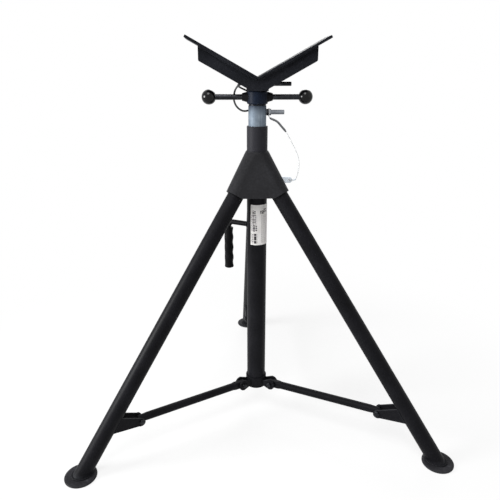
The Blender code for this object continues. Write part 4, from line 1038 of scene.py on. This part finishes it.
def grip_grid(rows=110, sides=64):
    """r = R - ripple (1 - cos(2 pi n v)) / 2 on the column's side, plainer on the far side, ends domed."""
    v = np.linspace(0, 1, rows)[:, None]
    a = circle_of(sides)[None]
    facing = 0.5 - 0.5 * np.cos(a)
    ripple = GRIP_RIPPLE * (0.5 - 0.5 * np.cos(2 * np.pi * GRIP_RIPPLES * v))
    ripple = ripple * (GRIP_FAR + (1 - GRIP_FAR) * facing)
    length = grip_top - grip_foot
    short = np.maximum(GRIP_ROUND - np.minimum(v, 1 - v) * length, 0)
    r = GRIP_R - ripple - (GRIP_ROUND - np.sqrt(GRIP_ROUND ** 2 - short ** 2))
    z = np.broadcast_to(grip_top - v * length, r.shape)
    wall = np.stack([r * np.cos(a), r * np.sin(a), z], axis=-1)
    return np.concatenate([wall[:1] * UP, wall, wall[-1:] * UP])


add("handle_grip", [sheet(placed(grip_grid(), grip_seat, (handle_out, sideways, UP)))], VINYL, "base",
    "carry_handle_grip")
print("grip %.0f mm long" % (1000 * (grip_top - grip_foot)))

# %% Label
LABEL_START, LABEL_SWEEP = math.radians(230.0), math.radians(130.0)
LABEL_FILM = 0.0004
label_foot, label_top = extent("label")


def label_wall(radius):
    """A patch of the cylinder, angle by height."""
    a, z = np.meshgrid(np.linspace(LABEL_START, LABEL_START + LABEL_SWEEP, 60),
                       np.linspace(label_foot, label_top, 24), indexing="ij")
    return np.stack([radius * np.cos(a), radius * np.sin(a), z], axis=-1) + AXIS


films = [label_wall(COLUMN_R + SEAT_GAP + depth) for depth in (LABEL_FILM, 0)]
rims = [np.concatenate([w[:, 0], w[-1, 1:], w[-2::-1, -1], w[0, -2:0:-1]]) for w in films]
label_sheets = [sheet(film, close_columns=False) for film in films] + [sheet(rims)]
label = add("blank_label", label_sheets, LABEL, "base", "label")
x, y, z = (vertices(label.data) - AXIS).T
round_column = COLUMN_R * (np.arctan2(y, x) % (2 * np.pi) - LABEL_START)
store_wrap(label.data, np.stack([round_column, z - label_foot], axis=1))
print("label %.0f mm tall" % (1000 * (label_top - label_foot)))

# %% [markdown]
# ## Mast, bush, washer and lock pin
# The mast only shows when it is raised, and then its row of pin holes shows too, so the holes are cut for
# real. The lock pin is a turned bar with a shoulder that stops against the sleeve.

# %% Mast
MAST_WALL = 0.003
HOLE_COUNT, HOLE_PITCH = 13, 0.040
MAST_R = half_width("mast_tube")
SCREW_R = 0.014
mast_ring = long_ring(MAST_R, MAST_R - MAST_WALL, *extent("mast_tube"), TUBE_EDGE, 0.005)
mast = add("mast", [turned(mast_ring, sides=64, hollow=True)], ZINC, "mast", "mast_tube")
drilled(mast, [pin_hole(LOCK_Z - HOLE_PITCH * i, MAST_R * 1.5, 28) for i in range(HOLE_COUNT)])
for name, solid, bore, edge in (("guide_bush", "mast_guide_bush", MAST_R + SEAT_GAP, 0.0008),
                                ("nut_washer", "thrust_washer", SCREW_R + SEAT_GAP, 0.0004)):
    section = ring_profile(half_width(solid), bore, *extent(solid), edge)
    add(name, [turned(section, hollow=True)], OXIDE, "mast", solid)
print("mast radius %.4f with %d holes" % (MAST_R, HOLE_COUNT))

# %% Lock pin
PIN_R, PIN_NOSE, PIN_CONE, PIN_EDGE = 0.00525, 0.002, 0.0015, 0.0007
SHOULDER_R, SHOULDER_L = 0.0075, 0.011
STOP_RISE, STOP_SHARE, STOP_EDGE = 0.0004, 0.6, 0.0006
pin_start, pin_end = extent("mast_pin", 0)
lock_seat = AXIS + UP * LOCK_Z
stop = SLEEVE_R + SEAT_GAP
pin_line = soften([(0, pin_end), (PIN_R, pin_end), (PIN_R, stop + SHOULDER_L),
                   (SHOULDER_R, stop + SHOULDER_L), (SHOULDER_R, stop), (PIN_R, stop),
                   (PIN_R, pin_start + PIN_NOSE), (PIN_R - PIN_CONE, pin_start), (0, pin_start)],
                  PIN_EDGE, closed=False)
add("lock_pin_bar", [turned(pin_line, lock_seat, LYING, 64)], PIN_ZINC, "lock_pin", "mast_pin")
stop_ring = ring_profile(SHOULDER_R + STOP_RISE, PIN_R, stop + STOP_RISE, stop + SHOULDER_L * STOP_SHARE,
                         STOP_EDGE)
add("lock_pin_stop", [turned(stop_ring, lock_seat, LYING, 64, hollow=True)], OXIDE, "lock_pin")
print("lock pin at %.3f" % LOCK_Z)

# %% [markdown]
# ## Jack nut, bars and ball knobs
# The nut is a turned collar with a cone on each side that takes a bar. The cones are turned about the bar's
# own axis and sink into the nut. The knobs are balls with a small flat where the bar enters and a fine
# mould line round the middle.

# %% Nut
NUT_R, NUT_CHAMFER, NUT_EDGE = 0.0245, 0.002, 0.0007
NUT_BORE = SCREW_R + SEAT_GAP
nut_section = soften([(NUT_R - NUT_CHAMFER, nut_top), (NUT_R, nut_top - NUT_CHAMFER),
                      (NUT_R, nut_foot + NUT_CHAMFER), (NUT_R - NUT_CHAMFER, nut_foot),
                      (NUT_BORE, nut_foot), (NUT_BORE, nut_top)], NUT_EDGE)
BAR_R, BAR_SEAT, BAR_EDGE = 0.0065, 0.011, 0.0006
BOSS_ROOT_R, BOSS_TIP_R, BOSS_FLARE = 0.012, 0.0085, 0.0016
BOSS_SINK, BOSS_NECK, BOSS_EDGE = 0.002, 0.004, 0.0012
boss_end = extent("jack_nut", 0)[1]
boss_root = math.sqrt(NUT_R ** 2 - BOSS_ROOT_R ** 2) - BOSS_SINK
socket_r = BAR_R + SEAT_GAP
boss_section = soften([(BOSS_ROOT_R + BOSS_FLARE, boss_root), (BOSS_ROOT_R, boss_root + BOSS_NECK),
                       (BOSS_TIP_R, boss_end), (socket_r, boss_end), (socket_r, boss_end - BAR_SEAT),
                       (socket_r, boss_root)], BOSS_EDGE)

# %% Bars and knobs
KNOB_R = half_width("ball_knob_right", 2)
KNOB_X = extent("ball_knob_right", 0)[1] - KNOB_R
KNOB_FLAT_R, KNOB_BREAK, KNOB_SOCKET = BAR_R + 0.002, 0.0004, 0.009
MOULD_LINE, MOULD_WIDTH = 0.008, 0.02
BAR_Z = centre("ball_knob_right")[2]
bar_seat = AXIS + UP * BAR_Z
turn = np.linspace(0, np.pi, 60)
ball = arc(KNOB_R, 0, np.pi, 60)[:, ::-1] * np.stack(
    [1 - MOULD_LINE * np.exp(-((turn - np.pi / 2) / MOULD_WIDTH) ** 2), np.ones(60)], 1)
face = -math.sqrt(KNOB_R ** 2 - KNOB_FLAT_R ** 2)
knob = np.vstack([ball[ball[:, 1] > face], [(KNOB_FLAT_R, face), (socket_r, face + KNOB_BREAK),
                                            (socket_r, face + KNOB_SOCKET), (0, face + KNOB_SOCKET)]])
boss_sheets = []
for side, hand in HANDS.items():
    axes = (AWAY * hand, UP, ACROSS * hand)
    boss_sheets.append(turned(boss_section, bar_seat, axes, 64, hollow=True))
    bar = soften(rod_profile(BAR_R, *sorted(np.abs(extent("nut_bar_" + side, 0)))), BAR_EDGE, closed=False)
    add("jack_bar_" + side, [turned(bar, bar_seat, axes, 48)], BURNISHED, "nut", "nut_bar_" + side)
    add("knob_" + side, [turned(knob, bar_seat + ACROSS * hand * KNOB_X, axes, 72)], PHENOLIC, "nut",
        "ball_knob_" + side)
add("jack_nut_body", [turned(nut_section, hollow=True)], NUT_POWDER, "nut", "jack_nut")
add("nut_bosses", boss_sheets, POWDER, "nut")
print("bars at %.3f, knob radius %.4f" % (BAR_Z, KNOB_R))

# %% [markdown]
# ## V head and lift screw
# Two plates meet at the apex and two webs carry them, one in front and one behind the sleeve. The angle and
# the apex come from the pipe rests. Weld beads run along the webs under the plates. The screw's thread is a
# true helix: its radius depends on the height less the pitch times the turn.

# %% V plates
rest = next(mount for mount in frame["record"]["mounts"] if mount["name"] == "pipe_rest_right")
V_ANGLE = math.atan2(-rest["axis"][0], rest["axis"][2])
V_ARM, V_PLATE, V_WIDTH, V_GAP = 0.183, 0.006, 0.076, 0.00015
V_ROUND, V_EDGE = 0.0012, 0.0009
lean, steep = math.tan(V_ANGLE), math.cos(V_ANGLE)
APEX_Z = rest["pos_m"][2] - rest["pos_m"][0] * lean
V_UNDERSIDE = APEX_Z - (V_PLATE + SEAT_GAP) / steep
tip = V_ARM * np.array([steep, math.sin(V_ANGLE)])
below = V_PLATE * np.array([math.sin(V_ANGLE), -steep])
arm = soften([(V_GAP, V_GAP * lean), (V_GAP, V_GAP * lean - V_PLATE / steep), tip + below, tip], V_ROUND)
for side, hand in HANDS.items():
    arm_plate = plate(arm, V_WIDTH, V_EDGE, (tip + below) / 2, AXIS + UP * APEX_Z, (ACROSS * hand, UP, AWAY))
    add("v_arm_" + side, [arm_plate], HEAD_POWDER, "head", "v_plate_" + side)
print("apex at %.4f, V angle %.1f degrees" % (APEX_Z, math.degrees(V_ANGLE)))

# %% Webs
WEB_DEPTH, WEB_THICKNESS, WEB_TAB, WEB_FILLET = 0.034, 0.006, 0.024, 0.0075
WEB_EDGE, WEB_MIDDLE, APEX_ROUND = 0.0008, 0.0156, 0.0001
WEB_BEAD_R, WEB_BEAD_END, WEB_BEAD_DROP = 0.0021, 0.004, 0.0002
WEB_REACH = extent("v_web_front", 0)[1]
web_lower = APEX_Z - WEB_DEPTH / steep
half = [(WEB_REACH, V_UNDERSIDE + WEB_REACH * lean), (WEB_REACH, web_lower + WEB_REACH * lean),
        (WEB_TAB, web_lower + WEB_TAB * lean), (WEB_TAB, extent("v_web_front")[0])]
half_round = [0.0015, 0.003, WEB_FILLET, 0.001]
web_outline = soften([(0, V_UNDERSIDE)] + half + [(-x, z) for x, z in half[::-1]],
                     [APEX_ROUND] + half_round + half_round[::-1], steps=6)
run = np.linspace(WEB_BEAD_END, WEB_REACH - WEB_BEAD_END, 220)[:, None]
for name in ("web_front", "web_rear"):
    front, back = extent("v_" + name, 1)
    middle = (front + back) / 2
    web = plate(web_outline, WEB_THICKNESS, WEB_EDGE, (0, V_UNDERSIDE - WEB_MIDDLE),
                AXIS * ACROSS + AWAY * middle, FACING)
    add(name, [web], HEAD_POWDER, "head", "v_" + name)
    outside = AXIS * ACROSS + AWAY * (front if middle < AXIS[1] else back)
    outside = outside + UP * (V_UNDERSIDE - WEB_BEAD_DROP)
    for side, hand in HANDS.items():
        bead = weld_bead(outside + run * (hand * ACROSS + lean * UP), WEB_BEAD_R, AWAY, closed=False)
        add("%s_weld_%s" % (name, side), [bead], HEAD_POWDER, "head")
print("webs reach %.3f" % WEB_REACH)

# %% Head socket
HEAD_R = half_width("head_sleeve")
head_foot = extent("head_sleeve")[0]
SOCKET_ROWS = (0.0, 0.03, 0.5, 0.97, 1.0)


def v_cut_ring(radius, share):
    """A ring of the socket at a share of the way from its foot to the V above it."""
    x, y = (radius * np.stack([np.cos(circle_of(ROUND_SIDES)), np.sin(circle_of(ROUND_SIDES))]))
    return np.stack([x, y, head_foot + (V_UNDERSIDE + np.abs(x) * lean - head_foot) * share], 1) + AXIS


socket_rows = [v_cut_ring(HEAD_R, share) for share in SOCKET_ROWS]
socket_rows += [v_cut_ring(SCREW_R + SEAT_GAP, share) for share in SOCKET_ROWS[::-1]]
add("head_socket", [sheet(socket_rows, True)], POWDER, "head", "head_sleeve")
print("socket radius %.4f" % HEAD_R)

# %% Lift screw and head pin
SCREW_ROOT_R, SCREW_PITCH = 0.01225, 0.00635
TOOTH_STEEP, THREAD_FADE = 1.8, 0.8
THREAD_STOP, SCREW_STEP, HEAD_PIN_EDGE = 0.002, 0.001, 0.0012
screw_foot, screw_top = extent("lift_screw")


def thread(bottom, top, rows_per_turn=14, sides=72):
    """A helical thread: r between root and crest by a flat topped wave of (z / pitch - turn)."""
    z = np.linspace(bottom, top, int((top - bottom) / SCREW_PITCH * rows_per_turn))[:, None]
    angle = circle_of(sides)[None]
    tooth = 0.5 + 0.5 * np.clip(TOOTH_STEEP * np.cos(2 * np.pi * z / SCREW_PITCH - angle), -1, 1)
    fade = np.clip(np.minimum(z - bottom, top - z) / (SCREW_PITCH * THREAD_FADE), 0, 1)
    r = SCREW_ROOT_R + (SCREW_R - SCREW_ROOT_R) * tooth * fade
    return np.stack([r * np.cos(angle), r * np.sin(angle), np.broadcast_to(z, r.shape)], axis=-1)


screw = thread(screw_foot, nut_top - THREAD_STOP)
plain = revolve([(SCREW_ROOT_R, nut_top), (SCREW_R, nut_top + SCREW_STEP), (SCREW_R, screw_top),
                 (0, screw_top)], 72)
add("jack_screw", [sheet(np.concatenate([screw[:1] * UP, screw, plain]) + AXIS)], OXIDE, "head", "lift_screw")

head_pin = soften(rod_profile(half_width("head_pin", 2), *extent("head_pin", 0)), HEAD_PIN_EDGE, closed=False)
head_pin_seat = AXIS + UP * centre("head_pin")[2]
add("head_pin_bar", [turned(head_pin, head_pin_seat, LYING, 56)], OXIDE, "top_pin", "head_pin")
print("screw from %.3f to %.3f" % (screw_foot, screw_top))

# %% [markdown]
# ## Cable ends
# A cable never just stops: it ends in an eye round the pin and in another through the tab, where a crimped
# ferrule closes it. They are small rings and a turned barrel.

# %% Cable ends
TAB_EYE_R, TAB_EYE_PLACE = 0.0052, 0.42
FERRULE_PLACE, FERRULE_L, FERRULE_R, FERRULE_WAIST = 0.93, 0.009, 0.0021, 0.86
FERRULE_EDGE = 0.0005


def barrel(path, share, length, radius):
    """A crimped barrel centred at a share of the way along a cable, narrower at its waist."""
    i = int(share * (len(path) - 1))
    way = unit(path[min(i + 1, len(path) - 1)] - path[max(i - 1, 0)])
    beside = unit(np.cross(way, AWAY))
    profile = soften([(0, length / 2), (radius, length / 2), (radius * FERRULE_WAIST, 0),
                      (radius, -length / 2), (0, -length / 2)], FERRULE_EDGE, closed=False)
    return turned(profile, path[i], (beside, np.cross(way, beside), way), 24)


def cable_eye(middle, radius, first, second):
    """A ring of cable about a middle, in the plane of two directions."""
    path = circle_path(middle, radius, first, second, 48)
    return sheet(sweep(path, LANYARD_D / 2, 10, np.cross(first, second), closed=True), close_rows=True)


pin_eye = cable_eye(lock_seat * (AWAY + UP) + ACROSS * lanyard_path[0], SHOULDER_R + LANYARD_D / 2, AWAY, UP)
tab_eye = cable_eye(tab_seat + ACROSS * (tab_end + tab_r * TAB_EYE_PLACE), TAB_EYE_R, ACROSS, AWAY)
ferrule = barrel(lanyard_path, FERRULE_PLACE, FERRULE_L, FERRULE_R)
cord_ends = [crimp, add("lanyard_pin_eye", [pin_eye], LANYARD_COAT, "lock_pin"),
             add("lanyard_tab_eye", [tab_eye], LANYARD_COAT, "base"),
             add("lanyard_ferrule", [ferrule], PALE_ZINC, "base")]
print("lanyard with", len(cord_ends), "end pieces")

# %% [markdown]
# ## What stays from the solids
# The brackets, eyes and pivot bolts inside the hub are the right shape already and sit in the dark, so they
# stay as they are and only take a finish.

# %% Finishes on the solids that stay
for side in LEGS:
    for kind, finish in (("hub_bracket_", POWDER), ("leg_eye_", OXIDE), ("leg_pivot_bolt_", OXIDE)):
        mesh = frame["nodes"][kind + side].data
        mesh.materials.clear()
        mesh.materials.append(finish)

# %% [markdown]
# ## Floor and light
# The object is shown on a plain white ground. The lamps stay at a level where a colour renders about as it
# is written: a broad key from above, a lamp on the left that draws a bright line down the tubes, a weak fill
# from the right and one behind. The world is white to the camera and to reflections, and dimmer as a light.

# %% Floor
FLOOR_HALF, FLOOR_DROP = 6.0, 0.0004
WHITE = linear("#ffffff")
ground = FLOOR_HALF * np.array([[-ACROSS - AWAY, ACROSS - AWAY], [AWAY - ACROSS, ACROSS + AWAY]])
floor = link("floor", mesh_of("floor", [sheet(ground, close_columns=False)]))
floor.location.z = -FLOOR_DROP
floor_finish, floor_tree, floor_shader, floor_place = new_finish("studio_floor")
wire(floor_tree, floor_shader, {"Base Color": linear("#f4f4f4"), "Roughness": 0.9})
floor.data.materials.append(floor_finish)


def background_rays(tree):
    """One for rays that show the background: the camera's own, and those that mirror or pass through."""
    rays = node(tree, "LightPath", {})
    seen = node(tree, "Math", {0: rays["Is Camera Ray"], 1: rays["Is Glossy Ray"]}, operation="ADD")[0]
    return node(tree, "Math", {0: seen, 1: rays["Is Transmission Ray"]}, operation="ADD", use_clamp=True)[0]


# Near the stand the floor keeps a share of its own shading, which holds the shadow; further out it is white
away = node(floor_tree, "VectorMath", {0: floor_place}, operation="LENGTH")["Value"]
whiteness = node(floor_tree, "MapRange", {"Value": away, "From Min": 0.35, "From Max": 1.1, "To Min": 0.78,
                                          "To Max": 1.0}, interpolation_type="SMOOTHSTEP")[0]
share = node(floor_tree, "Math", {0: whiteness, 1: background_rays(floor_tree)}, operation="MULTIPLY")[0]
glow = node(floor_tree, "Emission", {"Color": WHITE, "Strength": 1.0})[0]
surface = node(floor_tree, "MixShader", {0: share, 1: floor_shader.outputs[0], 2: glow})[0]
wire(floor_tree, floor_tree.nodes["Material Output"], {"Surface": surface})

# %% World and lamps
AMBIENT = 0.2
bpy.context.scene.world = bpy.data.worlds.new("studio")
bpy.context.scene.world.use_nodes = True
sky = bpy.context.scene.world.node_tree
ambient = sky.nodes["Background"]
wire(sky, ambient, {"Color": WHITE, "Strength": AMBIENT})
white = node(sky, "Background", {"Color": WHITE, "Strength": 1.0})[0]
mixed = node(sky, "MixShader", {0: background_rays(sky), 1: ambient.outputs[0], 2: white})[0]
wire(sky, sky.nodes["World Output"], {"Surface": mixed})


def soft_box(name, place, aim, size, watts):
    """A square lamp that faces a point."""
    lamp = link(name, bpy.data.lights.new(name, "AREA"))
    lamp.data.size = size
    lamp.data.energy = watts
    lamp.location = place
    x, y, z = np.subtract(aim, place)
    lamp.rotation_euler = (math.pi / 2 + math.atan2(z, math.hypot(x, y)), 0, math.atan2(y, x) - math.pi / 2)


soft_box("key", (-0.5, -1.7, 3.2), (0, -0.1, 0.6), 1.4, 62)
soft_box("side", (-2.6, -0.8, 1.1), (0, -0.1, 0.5), 1.0, 110)
soft_box("fill", (2.4, -1.6, 1.4), (0, -0.1, 0.5), 1.8, 4)
soft_box("rim", (0.6, 2.6, 2.2), (0, -0.1, 0.6), 1.4, 24)
bpy.context.scene.view_settings.view_transform = "Standard"
